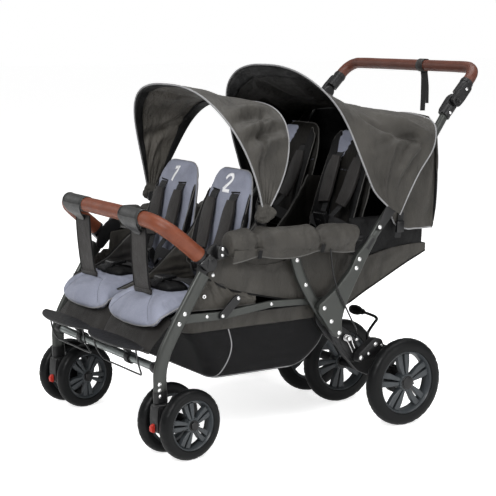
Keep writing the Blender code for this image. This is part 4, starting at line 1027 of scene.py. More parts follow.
def spring_route(side):
    """The torsion spring: a leg, nearly three turns round the bracket's pin, and the other leg."""
    y, z = 0.075, 0.249
    start, end, count = 0.3116, 0.3250, 60
    route = [(start, 0.098, 0.206), (start, 0.088, 0.2255), (start, 0.0810, 0.2370)]
    for i in range(count + 1):
        a = (-100 - 960 * i / count) * DEG
        route.append((start + (end - start) * i / count, y + 0.0078 * math.cos(a), z + 0.0078 * math.sin(a)))
    route += [(end, 0.0850, 0.2440), (end, 0.0885, 0.2335), (end, 0.0945, 0.2205)]
    return sided(side, route)


# Folding uprights and handle

def upright_path(side):
    """The upright's tube from the formed plate to the knuckle."""
    points = [(UPRIGHT_X, 0.140, 0.503), (UPRIGHT_X, 0.190, 0.566), (UPRIGHT_X, 0.253, 0.642),
              (0.321, 0.296, 0.695), (0.309, 0.367, 0.782), (0.303, 0.4095, 0.8350)]
    return sided(side, points)


def add_uprights():
    """Folding uprights: a formed plate with rivets, an oval tube and a sleeve between them."""
    foot = rounded([(0.030, 0.256), (0.050, 0.262), (0.047, 0.300), (0.062, 0.345), (0.098, 0.410),
                    (0.128, 0.462), (0.163, 0.515), (0.147, 0.528), (0.094, 0.473), (0.078, 0.440),
                    (0.030, 0.392), (-0.026, 0.352), (-0.029, 0.334), (0.012, 0.276)], 0.016, 6)
    for word, side in SIDES:
        parts = [slab(foot, side, 0.3125, 0.3315, 0.0045, 4),
                 sweep(smooth_path(upright_path(side), 36), oval(0.0125, 0.0091, 24, 2.4))]
        make(f"detail_upright_{word}", merged(parts), "frame", "handle_frame", 50, f"handle_upright_{word}")
        low = sweep(sided(side, [(UPRIGHT_X, 0.128, 0.4885), (UPRIGHT_X, 0.150, 0.5150)]),
                    oval(0.0137, 0.0100, 24, 2.4))
        make(f"upright_sleeve_{word}", low, "plastic", "handle_frame", 45)
    rivets("foot_plate_rivets", [(0.3315, 0.013, 0.304), (0.3315, -0.010, 0.342), (0.3315, 0.103, 0.463),
                                 (0.3315, 0.093, 0.440), (0.3315, 0.039, 0.270)], "handle_frame", 0.0046,
           0.0026)


def along_handle(distance, across=0.0):
    """A side-view point at a distance up the handle's slope from the knuckle's pivot."""
    slope = math.atan2(0.090, 0.086)
    return (KNUCKLE[0] + distance * math.cos(slope) - across * math.sin(slope),
            KNUCKLE[1] + distance * math.sin(slope) + across * math.cos(slope))


def add_knuckles():
    """Handle knuckles: the fixed base, the turning clamp with its rim, and the round button."""
    base = rounded([along_handle(-0.054, -0.016), along_handle(-0.010, -0.021), along_handle(0.017, -0.013),
                    along_handle(0.019, 0.011), along_handle(-0.002, 0.021), along_handle(-0.054, 0.016)],
                   0.012, 6)
    clamp = rounded([along_handle(-0.014, -0.015), along_handle(0.012, -0.018), along_handle(0.062, -0.015),
                     along_handle(0.062, 0.015), along_handle(0.012, 0.018), along_handle(-0.014, 0.015)],
                    0.012, 6)
    for word, side in SIDES:
        parts = [slab(base, side, 0.288, 0.304, 0.0035, 3),
                 sweep([at(side * 0.303, *along_handle(-0.0545)), at(side * 0.303, *along_handle(-0.024))],
                       oval(0.0165, 0.0145, 28, 2.4)),
                 sweep([at(side * 0.303, *along_handle(-0.0548)), at(side * 0.303, *along_handle(-0.0495))],
                       oval(0.0176, 0.0156, 28, 2.4))]
        make(f"detail_knuckle_base_{word}", merged(parts), "plastic", "handle_frame", 35,
             f"knuckle_base_{word}")
        parts = [slab(clamp, side, 0.3045, 0.319, 0.0035, 3),
                 sweep([at(side * 0.300, *along_handle(0.022)), at(side * 0.299, *along_handle(0.068))],
                       oval(0.017, 0.0165, 28, 2.4)),
                 sweep([at(side * 0.2992, *along_handle(0.0610)), at(side * 0.299, *along_handle(0.0682))],
                       oval(0.0180, 0.0175, 28, 2.4)),
                 turned([(0, 0.0088), (0, 0.0118), (0.0016, 0.0114), (0.0022, 0.0104), (0.0016, 0.0092)], 32,
                        at(side * 0.319, *KNUCKLE), (side, 0, 0))]
        make(f"detail_clamp_{word}", merged(parts), "plastic", "handle", 35, f"handle_clamp_{word}")
        bm = turned([(0, 0), (0, 0.0080), (0.0030, 0.0080), (0.0040, 0.0070), (0.0034, 0.0040), (0.0030, 0)],
                    28, at(side * 0.3185, *KNUCKLE), (side, 0, 0))
        make(f"detail_button_{word}", bm, "gloss", f"button_{word}", 35, f"knuckle_button_{word}")
        screw = rivet(at(side * 0.3190, *along_handle(0.044)), (side, 0, 0), 0.0036, 0.0020)
        make(f"clamp_screw_{word}", screw, "steel", "handle")
        screw = rivet(at(side * 0.3175, *along_handle(-0.040, -0.003)), (side, 0, 0), 0.0036, 0.0022)
        make(f"base_screws_{word}", screw, "steel", "handle_frame")


def handle_route():
    """The handle bar's line from the left clamp to the right one."""
    ends = 0.299
    half = [(ends, *along_handle(0.0685)), (ends - 0.001, *along_handle(0.088)),
            (ends - 0.010, *along_handle(0.107)), (ends - 0.030, *along_handle(0.120)),
            (ends - 0.060, *along_handle(0.1235)), (0.12, *along_handle(0.124))]
    return [at(*p) for p in mirrored(half, [(0, *along_handle(0.124))])]


def seam_line(path, direction, distance, spread=0.0):
    """Points on a tube's surface along its path, on the side that faces direction."""
    out = []
    for i, centre in enumerate(path):
        along = (path[min(i + 1, len(path) - 1)] - path[max(i - 1, 0)]).normalized()
        out_way = Vector(direction)
        out_way = (out_way - along * out_way.dot(along)).normalized()
        sideways = along.cross(out_way)
        out.append(centre + (out_way * math.cos(spread) + sideways * math.sin(spread)) * distance)
    return out


def covered_bar(name, route, radius, mat, body, seam):
    """A bar in a sewn leatherette sleeve: slight waves, a closed seam and a stitch row each side."""
    count = 150
    path = smooth_path(route, count)
    sections = []
    for i in range(count + 1):
        t = i / count
        swell = 1 + 0.012 * math.sin(t * 61) * math.sin(t * 23)
        end = 1 - 0.10 * (abs(2 * t - 1) ** 60)
        sections.append([(u * swell * end, v * swell * end) for u, v in oval(radius, radius, 28)])
    bar = make(name, sweep(path, sections, (0, -0.75, 0.66)), mat, body, 60, slot="leather")
    flap = seam_line(path[3:-3], seam, radius * 0.985)
    cord_line(name + "_seam", flap, 0.0011, mat, body)
    for way, word in ((0.17, "upper"), (-0.17, "lower")):
        line = seam_line(path[3:-3], seam, radius * 1.004, way)
        stitches(f"{name}_stitch_{word}", line, "thread", body, 0.0050, 0.00050)
    return bar


def add_grip():
    """The handle bar's brown sleeve and the black rings at its ends."""
    grip = covered_bar("detail_grip", handle_route(), GRIP_RADIUS, "leather_dark", "handle", (0, 0.55, -0.83))
    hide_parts("handle_grip")
    for word, side in SIDES:
        ends = [at(side * 0.299, *along_handle(0.0678)), at(side * 0.299, *along_handle(0.0722))]
        make(f"grip_end_{word}", sweep(ends, oval(0.0176, 0.0176, 28)), "plastic", "handle")


def bumper_route():
    """The bumper bar's line from the left clip to the right one."""
    half = [(0.290, -0.3625, 0.5040), (0.290, -0.397, 0.533), (0.285, -0.435, 0.565), (0.263, -0.463, 0.588),
            (0.217, -0.472, 0.597), (0.10, -0.474, 0.600)]
    return [at(*p) for p in mirrored(half, [(0, -0.474, 0.600)])]


def add_bumper():
    """The tan bumper bar and its end rings."""
    bar = covered_bar("detail_bumper", bumper_route(), BUMPER_RADIUS, "leather", "bumper",
                      (0.0, -0.80, -0.60))
    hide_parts("bumper_bar")
    path = smooth_path(bumper_route(), 150)
    for word, span in (("left", path[0:3]), ("right", path[-3:])):
        make(f"bumper_end_{word}", sweep(span, oval(0.0206, 0.0206, 28), (0, -0.75, 0.66)), "plastic",
                      "bumper")


# Rear axle and brake

def add_rear_axle():
    """The through axle, its trailing arms with brake covers, and toothed brake drums."""
    stub = 0.022
    outer, inner = (x for _, x in REAR_WHEEL_X)
    half = [(inner - stub, 0.0125), (inner - stub, 0.006), (inner + stub, 0.006),
            (inner + stub, 0.0125), (outer - stub - 0.004, 0.0125), (outer - stub - 0.004, 0.006),
            (0.3892, 0.006), (0.3892, 0.0155), (0.3915, 0.0155), (0.3922, 0.0140), (0.3922, 0)]
    profile = half + [(-x, r) for x, r in reversed(half)]
    y, z = SUSPENSION
    py, pz = PEDAL
    arm = rounded([(y - 0.014, z - 0.004), (y - 0.008, z + 0.013), (y + 0.012, z + 0.012),
                   (y + 0.062, z - 0.018), (py + 0.004, pz + 0.014), (py + 0.014, pz - 0.008),
                   (REAR_HUB_Y + 0.020, 0.114), (REAR_HUB_Y, 0.101), (REAR_HUB_Y - 0.018, 0.110),
                   (y + 0.030, z - 0.050), (y, z - 0.018)],
                  0.010, 4)
    brake = rounded([(y - 0.010, z - 0.010), (y + 0.014, z - 0.012), (y + 0.080, z + 0.020),
                     (y + 0.070, z + 0.046), (y + 0.044, z + 0.050), (y - 0.006, z + 0.014)], 0.008, 4)
    joggle = rounded([(y + 0.040, z - 0.008), (y + 0.076, z - 0.012), (y + 0.078, z + 0.022),
                      (y + 0.046, z + 0.024)], 0.006, 3)
    parts = [turned(profile, 32, at(0, REAR_HUB_Y, REAR_RADIUS))]
    rib = rounded([(y + 0.004, z + 0.004), (y + 0.018, z + 0.002), (y + 0.068, z + 0.024),
                   (y + 0.062, z + 0.038), (y + 0.046, z + 0.040), (y + 0.004, z + 0.012)], 0.005, 3)
    for _, side in SIDES:
        parts += [slab(arm, side, 0.262, 0.284, 0.003, 2),
                  slab(joggle, side, 0.275, 0.325, 0.002, 2),
                  slab(brake, side, 0.314, 0.338, 0.003, 2),
                  slab(rib, side, 0.3370, 0.3398, 0.0012, 2)]
        parts.append(turned([(0, 0), (0, 0.034), (0.003, 0.036), (0.016, 0.036), (0.018, 0.033), (0.018, 0)],
                            40, at(side * 0.3255, REAR_HUB_Y, REAR_RADIUS), (side, 0, 0)))
        for k in range(10):
            a = (200 - 22 * k) * DEG
            parts.append(turned([(0, 0), (0, 0.0046), (0.019, 0.0046), (0.020, 0.0036), (0.020, 0)], 8,
                                at(side * 0.3245, REAR_HUB_Y + 0.0355 * math.cos(a),
                                   REAR_RADIUS + 0.0355 * math.sin(a)), (side, 0, 0)))
    make("detail_rear_axle", merged(parts), "plastic", "rear_suspension", 35, "rear_axle")
    rivets("suspension_screws", [(0.338, y + 0.001, z + 0.001), (0.3398, y + 0.048, z + 0.033)],
           "rear_suspension", 0.0056, 0.0030)
    rivets("brake_screws", [(0.3398, y + 0.024, z + 0.010), (0.338, y + 0.068, z + 0.028)], "rear_suspension",
           0.0036, 0.0024)


def add_brake_pedal():
    """The cranked rod with its rubber pad."""
    y, z = PEDAL
    top_y, top_z = 0.297, 0.252
    route = [(0.2612, y, z), (0.215, y, z), (0.163, y, z), (0.149, y + 0.003, z + 0.006),
             (0.143, y + 0.010, z + 0.022), (0.151, top_y - 0.008, top_z - 0.020),
             (0.158, top_y - 0.001, top_z - 0.005), (0.150, top_y, top_z + 0.001),
             (0.134, top_y, top_z + 0.003), (0.0905, top_y + 0.001, top_z + 0.005)]
    rod = free_sweep(smooth_path([at(*p) for p in route], 72), oval(0.0042, 0.0042, 16))
    make("detail_pedal_rod", rod, "gloss", "brake_pedal", 50, "brake_pedal_rod")
    pad = turned([(0.028, 0), (0.0285, 0.0055), (0.031, 0.0085), (0.038, 0.0125), (0.052, 0.0145),
                  (0.066, 0.0135), (0.076, 0.0105), (0.082, 0.0088), (0.090, 0.0085), (0.090, 0)], 36,
                 at(0, top_y + 0.001, top_z + 0.005))
    make("detail_pedal_pad", pad, "tyre", "brake_pedal", 50, "brake_pedal_pad")


def add_brake_cable():
    """The brake's hose on the near side, from the tub's skirt to the bracket."""
    x = 0.3368
    route = [(x, 0.004, 0.500), (x, 0.008, 0.470), (x, 0.013, 0.437), (x, 0.024, 0.400), (x, 0.040, 0.365),
             (x, 0.058, 0.333), (x, 0.076, 0.300), (x - 0.001, 0.089, 0.279), (0.326, 0.099, 0.262),
             (0.316, 0.104, 0.252), (0.3092, 0.106, 0.248)]
    path = smooth_path([at(*p) for p in route], 60)
    hose = free_sweep(path, oval(0.0022, 0.0022, 12))
    make("detail_brake_cable", hose, "gloss", "chassis", 50, "brake_cable")


# Footrest

def add_footrest():
    """Slim bowed tread in two leaves, with its sleeves on the crossbar and two wire loops."""
    path, sections = [], []
    for k in range(65):
        x = -0.290 + 0.580 * k / 64
        bow = 1 - abs(abs(x) / 0.145 - 1) ** 2.4
        front, rear = -0.004 - 0.036 * bow, 0.004 + 0.015 * bow
        path.append(at(x, -0.533, 0.2830))
        sections.append([(0.0002, front + 0.001), (0.0006, 0), (0.0030, rear), (0.0055, rear + 0.0022),
                         (0.008, rear), (0.0058, 0), (0.0050, front + 0.001), (0.0026, front - 0.0012)])
    parts = [sweep(path, sections, (0, 1, 0))]
    for x in (-0.14, 0.14):
        ring = [(x - 0.011, 0.0108), (x - 0.011, 0.0150), (x - 0.010, 0.0156), (x + 0.010, 0.0156),
                (x + 0.011, 0.0150), (x + 0.011, 0.0108)]
        parts.append(turned(ring, 28, at(0, *CROSSBAR)))
        y, z = CROSSBAR
        parts.append(plate([(y - 0.009, z + 0.0125), (y + 0.003, z + 0.0135), (-0.516, 0.2885),
                            (-0.532, 0.2868)],
                           x - 0.009, x + 0.009, 0.001))
    make("detail_footrest", merged(parts), "plastic", "footrest", 35, "footrest_plate")
    route = [(0.030, -0.540, 0.2862), (0.032, -0.532, 0.245), (0.036, -0.516, 0.216), (0.060, -0.510, 0.209),
             (0.14, -0.510, 0.209), (0.225, -0.510, 0.209), (0.250, -0.514, 0.214), (0.256, -0.524, 0.240),
             (0.256, -0.533, 0.2862)]
    for word, side in SIDES:
        wire = free_sweep(smooth_path(sided(side, route), 72), oval(0.0023, 0.0023, 12))
        make(f"footrest_wire_{word}", wire, "gloss", "footrest", 50)


# Padding tools

def side_place(route, x0, face=1):
    """A function that maps (across, along, height) onto a side-view route, and the route's length."""
    path = smooth_path([at(0, y, z) for y, z in route], 80)
    marks = [0.0]
    for a, b in zip(path, path[1:]):
        marks.append(marks[-1] + (b - a).length)

    def place(a, b, h):
        """The point that is a across, b along and h high."""
        k = 0
        while k < len(path) - 2 and marks[k + 1] < b:
            k += 1
        t = (b - marks[k]) / (marks[k + 1] - marks[k])
        along = (path[k + 1] - path[k]).normalized()
        normal = Vector((0, along.z, -along.y)) * face
        return path[k].lerp(path[k + 1], t) + Vector((x0 + a, 0, 0)) + normal * h
    return place, marks[-1]


def pillow(name, outline, place, thick, mat, body, rim=0.0):
    """A stuffed shape over a closed outline of (across, along); its rim has a wall or is drawn to an edge."""
    centre = (sum(p[0] for p in outline) / len(outline), sum(p[1] for p in outline) / len(outline))
    count = len(outline)
    bm = bmesh.new()
    layers = []
    for way in (1, -1):
        made = []
        for r in (1.0, 0.985, 0.95, 0.88, 0.78, 0.64, 0.46, 0.24):
            if r == 1.0 and way < 0 and not rim:
                made.append(layers[0][0])
                continue
            height = way * (rim / 2 + (thick - rim) / 2 * (1 - r ** 2.6) ** 0.5)
            made.append([bm.verts.new(place(centre[0] + (a - centre[0]) * r, centre[1] + (b - centre[1]) * r,
                                            height)) for a, b in outline])
        layers.append(made)
        for first, second in zip(made, made[1:]):
            for k in range(count):
                bm.faces.new((first[k - 1], first[k], second[k], second[k - 1]))
        peak = bm.verts.new(place(*centre, way * thick / 2))
        for k in range(count):
            bm.faces.new((made[-1][k - 1], made[-1][k], peak))
    if rim:
        front, rear = layers[0][0], layers[1][0]
        for k in range(count):
            bm.faces.new((front[k - 1], front[k], rear[k], rear[k - 1]))
    return make(name, bm, mat, body, 180)


def inflate(obj, cap, voxel=0.0055):
    frames = 20
    remesh = obj.modifiers.new("remesh", "REMESH")
    remesh.mode = "VOXEL"
    remesh.voxel_size = voxel
    remesh.use_smooth_shade = True
    apply_modifiers(obj)
    before = [v.co.copy() for v in obj.data.vertices]
    soft = obj.modifiers.new("cloth", "CLOTH")
    settings = soft.settings
    settings.quality = 5
    settings.mass = 0.25
    settings.use_pressure = True
    settings.uniform_pressure_force = 4.0
    settings.tension_stiffness = settings.compression_stiffness = 12
    settings.shear_stiffness = 6
    settings.bending_stiffness = 0.4
    settings.effector_weights.gravity = 0
    soft.collision_settings.use_collision = False
    soft.collision_settings.use_self_collision = False
    soft.point_cache.frame_start = 1
    soft.point_cache.frame_end = frames
    scene = bpy.context.scene
    for step in range(1, frames + 1):
        scene.frame_set(step)
    apply_modifiers(obj)
    scene.frame_set(1)
    for vert, was in zip(obj.data.vertices, before):
        move = vert.co - was
        if move.length > cap:
            vert.co = was + move * (cap / move.length)
    add_smoothing(obj)
    apply_modifiers(obj)
    obj.data.shade_smooth()


def surface(obj):
    """The object's surface, for points to be laid on."""
    graph = bpy.context.evaluated_depsgraph_get()
    return bvhtree.BVHTree.FromObject(obj, graph)


def laid_on(tree, points, lift=0.0):
    """The points moved to the nearest place on a surface, then out along its normal."""
    out = []
    for point in points:
        place, normal, _, _ = tree.find_nearest(Vector(point))
        out.append(place + normal * lift)
    return out


def cast_on(tree, points, direction, lift=0.0):
    """The points dropped along a direction onto a surface; those that miss are left out."""
    out = []
    way = Vector(direction).normalized()
    for point in points:
        place, normal, _, _ = tree.ray_cast(Vector(point) - way * 0.15, way)
        if place is not None:
            out.append(place + (normal if normal.dot(way) < 0 else -normal) * lift)
    return out


def groove(obj, lines, depth, width):
    """Presses sewn channels into a padded piece along the lines."""
    tree = kdtree.KDTree(sum(len(line) for line in lines))
    count = 0
    for line in lines:
        for point in line:
            tree.insert(point, count)
            count += 1
    tree.balance()
    normals = [v.normal.copy() for v in obj.data.vertices]
    for vert, normal in zip(obj.data.vertices, normals):
        _, _, far = tree.find(vert.co)
        if far < width * 2.5:
            vert.co -= normal * depth * math.exp(-(far / width) ** 2)


def rumple(obj, depth, scale, seed=0.0, stretch=(1, 1, 1)):
    """Small soft dents all over a piece of cloth."""
    normals = [v.normal.copy() for v in obj.data.vertices]
    for vert, normal in zip(obj.data.vertices, normals):
        p = Vector((vert.co.x * stretch[0], vert.co.y * stretch[1], vert.co.z * stretch[2]))
        vert.co += normal * depth * wobble(p.x, p.y, p.z, scale, seed)


def line_between(place, points):
    """A smooth line over a padded piece, given by (across, along) points."""
    return [place(p.x, p.y, 0.03) for p in smooth_path([(a, b, 0) for a, b in points], 24)]


def quarter_rounded(points, radius):
    """An outline with finely rounded corners, for cushions."""
    return rounded(points, radius, 5)


# Seats

def sewn_pad(name, outline, place, thick, mat, body, node, seams=(), cap=0.007, face=(0, 0, -1),
             piping="piping", cord=0.0022, seed=0.0, rim=0.006):
    """A padded piece with sewn channels on its face and piping round its rim; it replaces a node."""
    pad = pillow(name, outline, place, thick, mat, body, rim)
    inflate(pad, cap)
    tree = surface(pad)
    lines = [cast_on(tree, line_between(place, seam), face) for seam in seams]
    lines = [line for line in lines if len(line) > 3]
    if lines:
        groove(pad, lines, 0.0035, 0.006)
    rumple(pad, 0.0012, 24, seed)
    pad.data.update()
    tree = surface(pad)
    for k, line in enumerate(lines):
        cord_line(f"{name}_seam_{k}", laid_on(tree, line, 0.0001), 0.0008,
                  "charcoal" if mat == "black" else "seam", body)
    edge = laid_on(tree, [place(a, b, 0) for a, b in outline], 0.0004)
    cord_line(f"{name}_piping", edge, cord, piping, body, closed=True)
    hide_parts(node)
    return pad


def add_front_seats():
    """Two grey pads whose squared lips hang over the calf panels, on a black sling."""
    route = [(-0.2165, 0.381), (-0.300, 0.3775), (-0.370, 0.378), (-0.418, 0.379), (-0.450, 0.371),
             (-0.473, 0.352), (-0.494, 0.324)]
    for word, side in SIDES:
        place, length = side_place(route, side * SEAT_X)
        wide = 0.133
        outline = quarter_rounded([(-wide, 0.0), (-wide, length * 0.55), (-wide, length * 0.955),
                                   (-wide * 0.60, length * 1.005), (0, length * 1.02),
                                   (wide * 0.60, length * 1.005), (wide, length * 0.955),
                                   (wide, length * 0.55), (wide, 0.0)], 0.024)
        seam = [(-0.119, length * 0.945), (-0.085, length * 0.855), (-0.046, length * 0.745)]
        fold = [(-0.046, length * 0.745), (0.0, length * 0.738), (0.046, length * 0.745)]
        middle = [(-0.054, length * 0.05), (-0.052, length * 0.35), (-0.046, length * 0.60)]
        sewn_pad(f"front_seat_pad_{word}", outline, place, 0.040, "pad", "chassis", f"front_seat_{word}",
                 (seam, flipped(seam), fold, middle, flipped(middle)), 0.007,
                 (0, 0.35, -1), seed=side, rim=0.010, cord=0.0020)
    rows = [[at(x, y, z) for x in (-0.268, -0.15, -0.05, 0.05, 0.15, 0.268)]
            for y, z in ((-0.200, 0.359), (-0.30, 0.3545), (-0.38, 0.3545), (-0.440, 0.347))]
    sling = cloth_sheet("seat_sling", resample(rows, 12, 30), "black", "chassis", 0.003, -1, 0)


def add_calf_panels():
    """A dark cover under the front pads, parted by a middle seam, with a piped lower hem."""
    route = [(-0.4520, 0.352), (-0.4650, 0.333), (-0.4780, 0.3135), (-0.4900, 0.293), (-0.5030, 0.2695)]
    rows = []
    for k in range(13):
        t = k / 12
        line = []
        for i in range(61):
            x = -0.272 + 0.544 * i / 60
            half = abs(x) / 0.272
            y = read_along([p[0] for p in route], t)
            z = read_along([p[1] for p in route], t)
            dip = 0.012 * math.exp(-((abs(x) / 0.012) ** 2)) * (1 - 0.3 * t)
            swell = 0.006 * math.sin(math.pi * half) + 0.0022 * wobble(x, t * 0.1, 0, 22)
            back = 0.030 * max(0, half - 0.84) / 0.16 * (1 - t)
            line.append(at(x, y + dip - swell + back, z + 0.002 * math.sin(half * math.pi)))
        rows.append(line)
    panel = cloth_sheet("calf_cover", rows, "calf", "chassis", 0.0022, 1, 1)
    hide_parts("calf_panel")
    hem = [p + Vector((0, -0.0022, 0)) for p in rows[-1]]
    middle = [row[30] + Vector((0, -0.0028, 0)) for row in rows]
    made = [cord_line("calf_piping", hem, 0.0022, "piping_dim", "chassis"),
            cord_line("calf_middle_piping", middle, 0.0014, "black", "chassis")]


def back_outline(length, low, mid, high, top, corner):
    """A seat back's outline, given by its half widths from the bottom up."""
    return quarter_rounded([(-low, 0.0), (-mid, length * 0.40), (-high, length * 0.74), (-top, length * 1.0),
                            (top, length * 1.0), (high, length * 0.74), (mid, length * 0.40), (low, 0.0)],
                           corner)


def wing(name, body, place, length, side_x, front, start, spread, seed):
    """A side bolster beside a back: a padded strip that stands forward at its outer edge."""
    lift, high = (0.004 + 0.013, 0.97) if spread > 1 else (0.004, 0.82)

    def bowed(a, b, h):
        """A point of the flat strip on the bowed bolster."""
        down = max(0.0, 1 - b / (length * 0.86))
        return place(side_x * (start + a * spread), b,
                     lift + front * (max(0.0, a) / 0.044) ** 1.5 * down ** 0.8 + h)

    outline = quarter_rounded([(0.0, length * 0.06), (0.044, length * 0.08), (0.044, length * 0.45),
                               (0.030 if spread < 1 else 0.040, length * (high - 0.10)),
                               (0.010, length * high), (-0.006, length * 0.60)], 0.016)
    pad = pillow(name, outline, bowed, 0.014, "black", body)
    inflate(pad, 0.003, 0.0045)
    rumple(pad, 0.0012, 34, seed)
    tree = surface(pad)
    edge = laid_on(tree, [bowed(a, b, 0) for a, b in outline], 0.0003)
    cord_line(f"{name}_piping", edge, 0.0013, "piping_dim", body, closed=True)


def add_dividers():
    """Cloth partitions beside the front seats, gathered along concave front edges with two pipings."""
    edge = [(-0.153, 0.615), (-0.175, 0.589), (-0.205, 0.552), (-0.239, 0.511), (-0.289, 0.471),
            (-0.345, 0.424), (-0.400, 0.400), (-0.449, 0.3835)]
    root = [(-0.150, 0.600), (-0.155, 0.575), (-0.163, 0.535), (-0.172, 0.495), (-0.182, 0.460),
            (-0.200, 0.425), (-0.215, 0.402), (-0.218, 0.392)]
    for tag, x, half, cut_off in (("middle", 0.0, 0.0085, 1.0), ("left", 0.2677, 0.0055, 0.74),
                                  ("right", -0.2677, 0.0055, 1.0)):
        front = flat_curve(edge, 70)
        behind = flat_curve(root, 70)
        faces = []
        for way in (1, -1):
            rows = []
            for i in range(19):
                t = i / 18
                line = []
                for k in range(71):
                    low, part = int(k * cut_off), k * cut_off % 1
                    a, b = (path[low].lerp(path[min(70, low + 1)], part) for path in (front, behind))
                    p = a.lerp(b, t)
                    wave = math.sin(k * 0.95 + 2.2 * wobble(k * 0.1, t, x, 3, way))
                    gather = wave * (1 - t) ** 0.7 * 0.0028
                    puff = half * (0.55 + 0.9 * min(1, t * 4) * (1 - 0.55 * t))
                    droop = 0.0016 * wobble(p.y, p.z, x, 40, way)
                    line.append(at(x + way * max(0.0015, puff + gather * min(1, t * 5) + droop), p.y, p.z))
                rows.append(line)
            faces.append(rows)
        rim = [[a.lerp(b, f) + Vector((0, -0.0035, 0.0025)) * math.sin(math.pi * f)
                for f in (0.0, 0.25, 0.5, 0.75, 1.0)] for a, b in zip(faces[0][0], faces[1][0])]
        sheets, pipings = [], []
        for (word, _), rows in zip(WAYS, faces):
            sheets.append(cloth_sheet(f"divider_{tag}_{word}", rows,
                                      "lining" if tag == "middle" else "charcoal", "chassis", 0.0014, 0, 0))
            pipings.append(cord_line(f"divider_{tag}_piping_{word}", rows[0], 0.0018, "piping_dim",
                                     "chassis"))
        band = cloth_sheet(f"divider_{tag}_edge", rim, "black", "chassis", 0.0014, 0, 0)
        long, area = 0.392 * cut_off, sheet_area(rim)
        for sheet, rows in zip(sheets, faces):
            area = sheet_area(rows)


def add_back(row, word, side, route, pad_mat):
    """A seat back: a padded face, side bolsters, and a harness with shoulder pads and a buckle."""
    body = f"{row}_back_{word}"
    x0 = side * SEAT_X
    place, length = side_place(route, x0, -1)
    front = row == "front"
    outline = back_outline(length, 0.104, 0.116, 0.112, 0.080, 0.036) if front else \
        back_outline(length, 0.086, 0.098, 0.104, 0.074, 0.032)
    slots = length * 0.755
    spine = [(-0.045, length * 0.04), (-0.05, length * 0.3), (-0.05, length * 0.58)]
    head = [(-0.100, length * 0.66), (-0.05, length * 0.60), (0.05, length * 0.60), (0.100, length * 0.66)]
    # painted shade: the rear backs get the darker copy of the piping, the front backs the light piping
    pad = sewn_pad(f"{row}_back_pad_{word}", outline, place, 0.028, pad_mat, body, body,
                   (spine, flipped(spine)) if front else (head, spine, flipped(spine)),
                   0.005, INTO_BACK, seed=3 + side, cord=0.0019, piping="piping" if front else "piping_dim")
    for tag, way in WAYS:
        wing(f"{row}_wing_{word}_{tag}", body, place, length, way, 0.052 if front else 0.030,
             0.092 if front else 0.052, 0.55 if front else 1.15, side + way * 2)
    tree = surface(pad)
    for tag, way in WAYS:
        across = [place(way * 0.049 + d, slots + 0.006 + d * way * 0.08, 0.03)
                  for d in (-0.019, -0.010, 0, 0.010, 0.019)]
        slot_bar = free_sweep(cast_on(tree, across, INTO_BACK, 0.0004), oval(0.0020, 0.0020, 8))
        make(f"{row}_slot_{word}_{tag}", slot_bar, "black", body, 60)
        points = [place(way * x, slots + along, h) for x, along, h in (
            (0.049, 0.010, 0.012), (0.049, -0.010, 0.023), (0.051, -0.050, 0.027), (0.047, -0.110, 0.032),
            (0.036, -0.150, 0.042), (0.020, -0.190, 0.058))]
        ribbon(f"{row}_strap_{word}_{tag}", points, 0.036, 0.0016, "strap", body, count=30,
               widths=(1.0, 0.95, 0.8, 0.7, 0.62, 0.6))
        cover = [place(way * x, slots + along, h) for x, along, h in (
            (0.050, -0.016, 0.028), (0.051, -0.060, 0.034), (0.048, -0.105, 0.039), (0.040, -0.150, 0.047))]
        shoulder = ribbon(f"{row}_shoulder_{word}_{tag}", cover, 0.052, 0.015, "charcoal", body, (1, 0, 0),
                          24, (0.66, 0.92, 1.0, 1.0, 0.98, 0.84), 0.9)
    centre = place(0, slots - 0.205, 0.066)
    shell = rounded([(-0.008, -0.030), (0.008, -0.030), (0.011, 0.0), (0.008, 0.028), (-0.008, 0.028),
                     (-0.011, 0.0)], 0.003, 3)
    press = rounded([(-0.0125, -0.012), (-0.009, -0.012), (-0.009, 0.010), (-0.0125, 0.010)], 0.001, 2)
    buckle = merged([plate([(a - SHIFT, b) for a, b in shell], -0.026, 0.026, 0.004, 3),
                     plate([(a - SHIFT, b) for a, b in press], -0.010, 0.010, 0.001)])
    bmesh.ops.transform(buckle, matrix=Matrix.Translation(centre) @ Matrix.Rotation(0.35, 4, "X"),
                        verts=buckle.verts)
    make(f"{row}_buckle_{word}", buckle, "gloss", body)
    for tag, way in WAYS:
        waist = [place(way * 0.100, 0.030, 0.020), place(way * 0.086, 0.032, 0.046),
                 place(way * 0.052, 0.040, 0.064), centre + Vector((way * 0.022, 0, -0.006))]
        ribbon(f"{row}_waist_{word}_{tag}", waist, 0.030, 0.0016, "strap", body, (0, 0.2, 1), 20)
    return pad, place, length


def numeral(name, strokes, pad, place, body):
    """A painted seat number: strokes of (across, up) points laid on the head area."""
    tree = surface(pad)
    parts = []
    for points in strokes:
        path = smooth_path([(a, b, 0) for a, b in points], 16 * (len(points) - 1))
        rows = []
        for i, p in enumerate(path):
            along = (path[min(i + 1, len(path) - 1)] - path[max(i - 1, 0)]).normalized()
            side = Vector((-along.y, along.x, 0)) * 0.0044
            ends = cast_on(tree, [place(p.x + side.x * w, p.y + side.y * w, 0.03) for w in (-1, 0, 1)],
                           INTO_BACK, 0.0009)
            if len(ends) == 3:
                rows.append(ends)
        parts.append(grid_mesh(rows))
    digit = make(name, merged(parts), "print", None, 60)
    thicken(digit, 0.0006)
    apply_modifiers(digit)
    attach(digit, body)


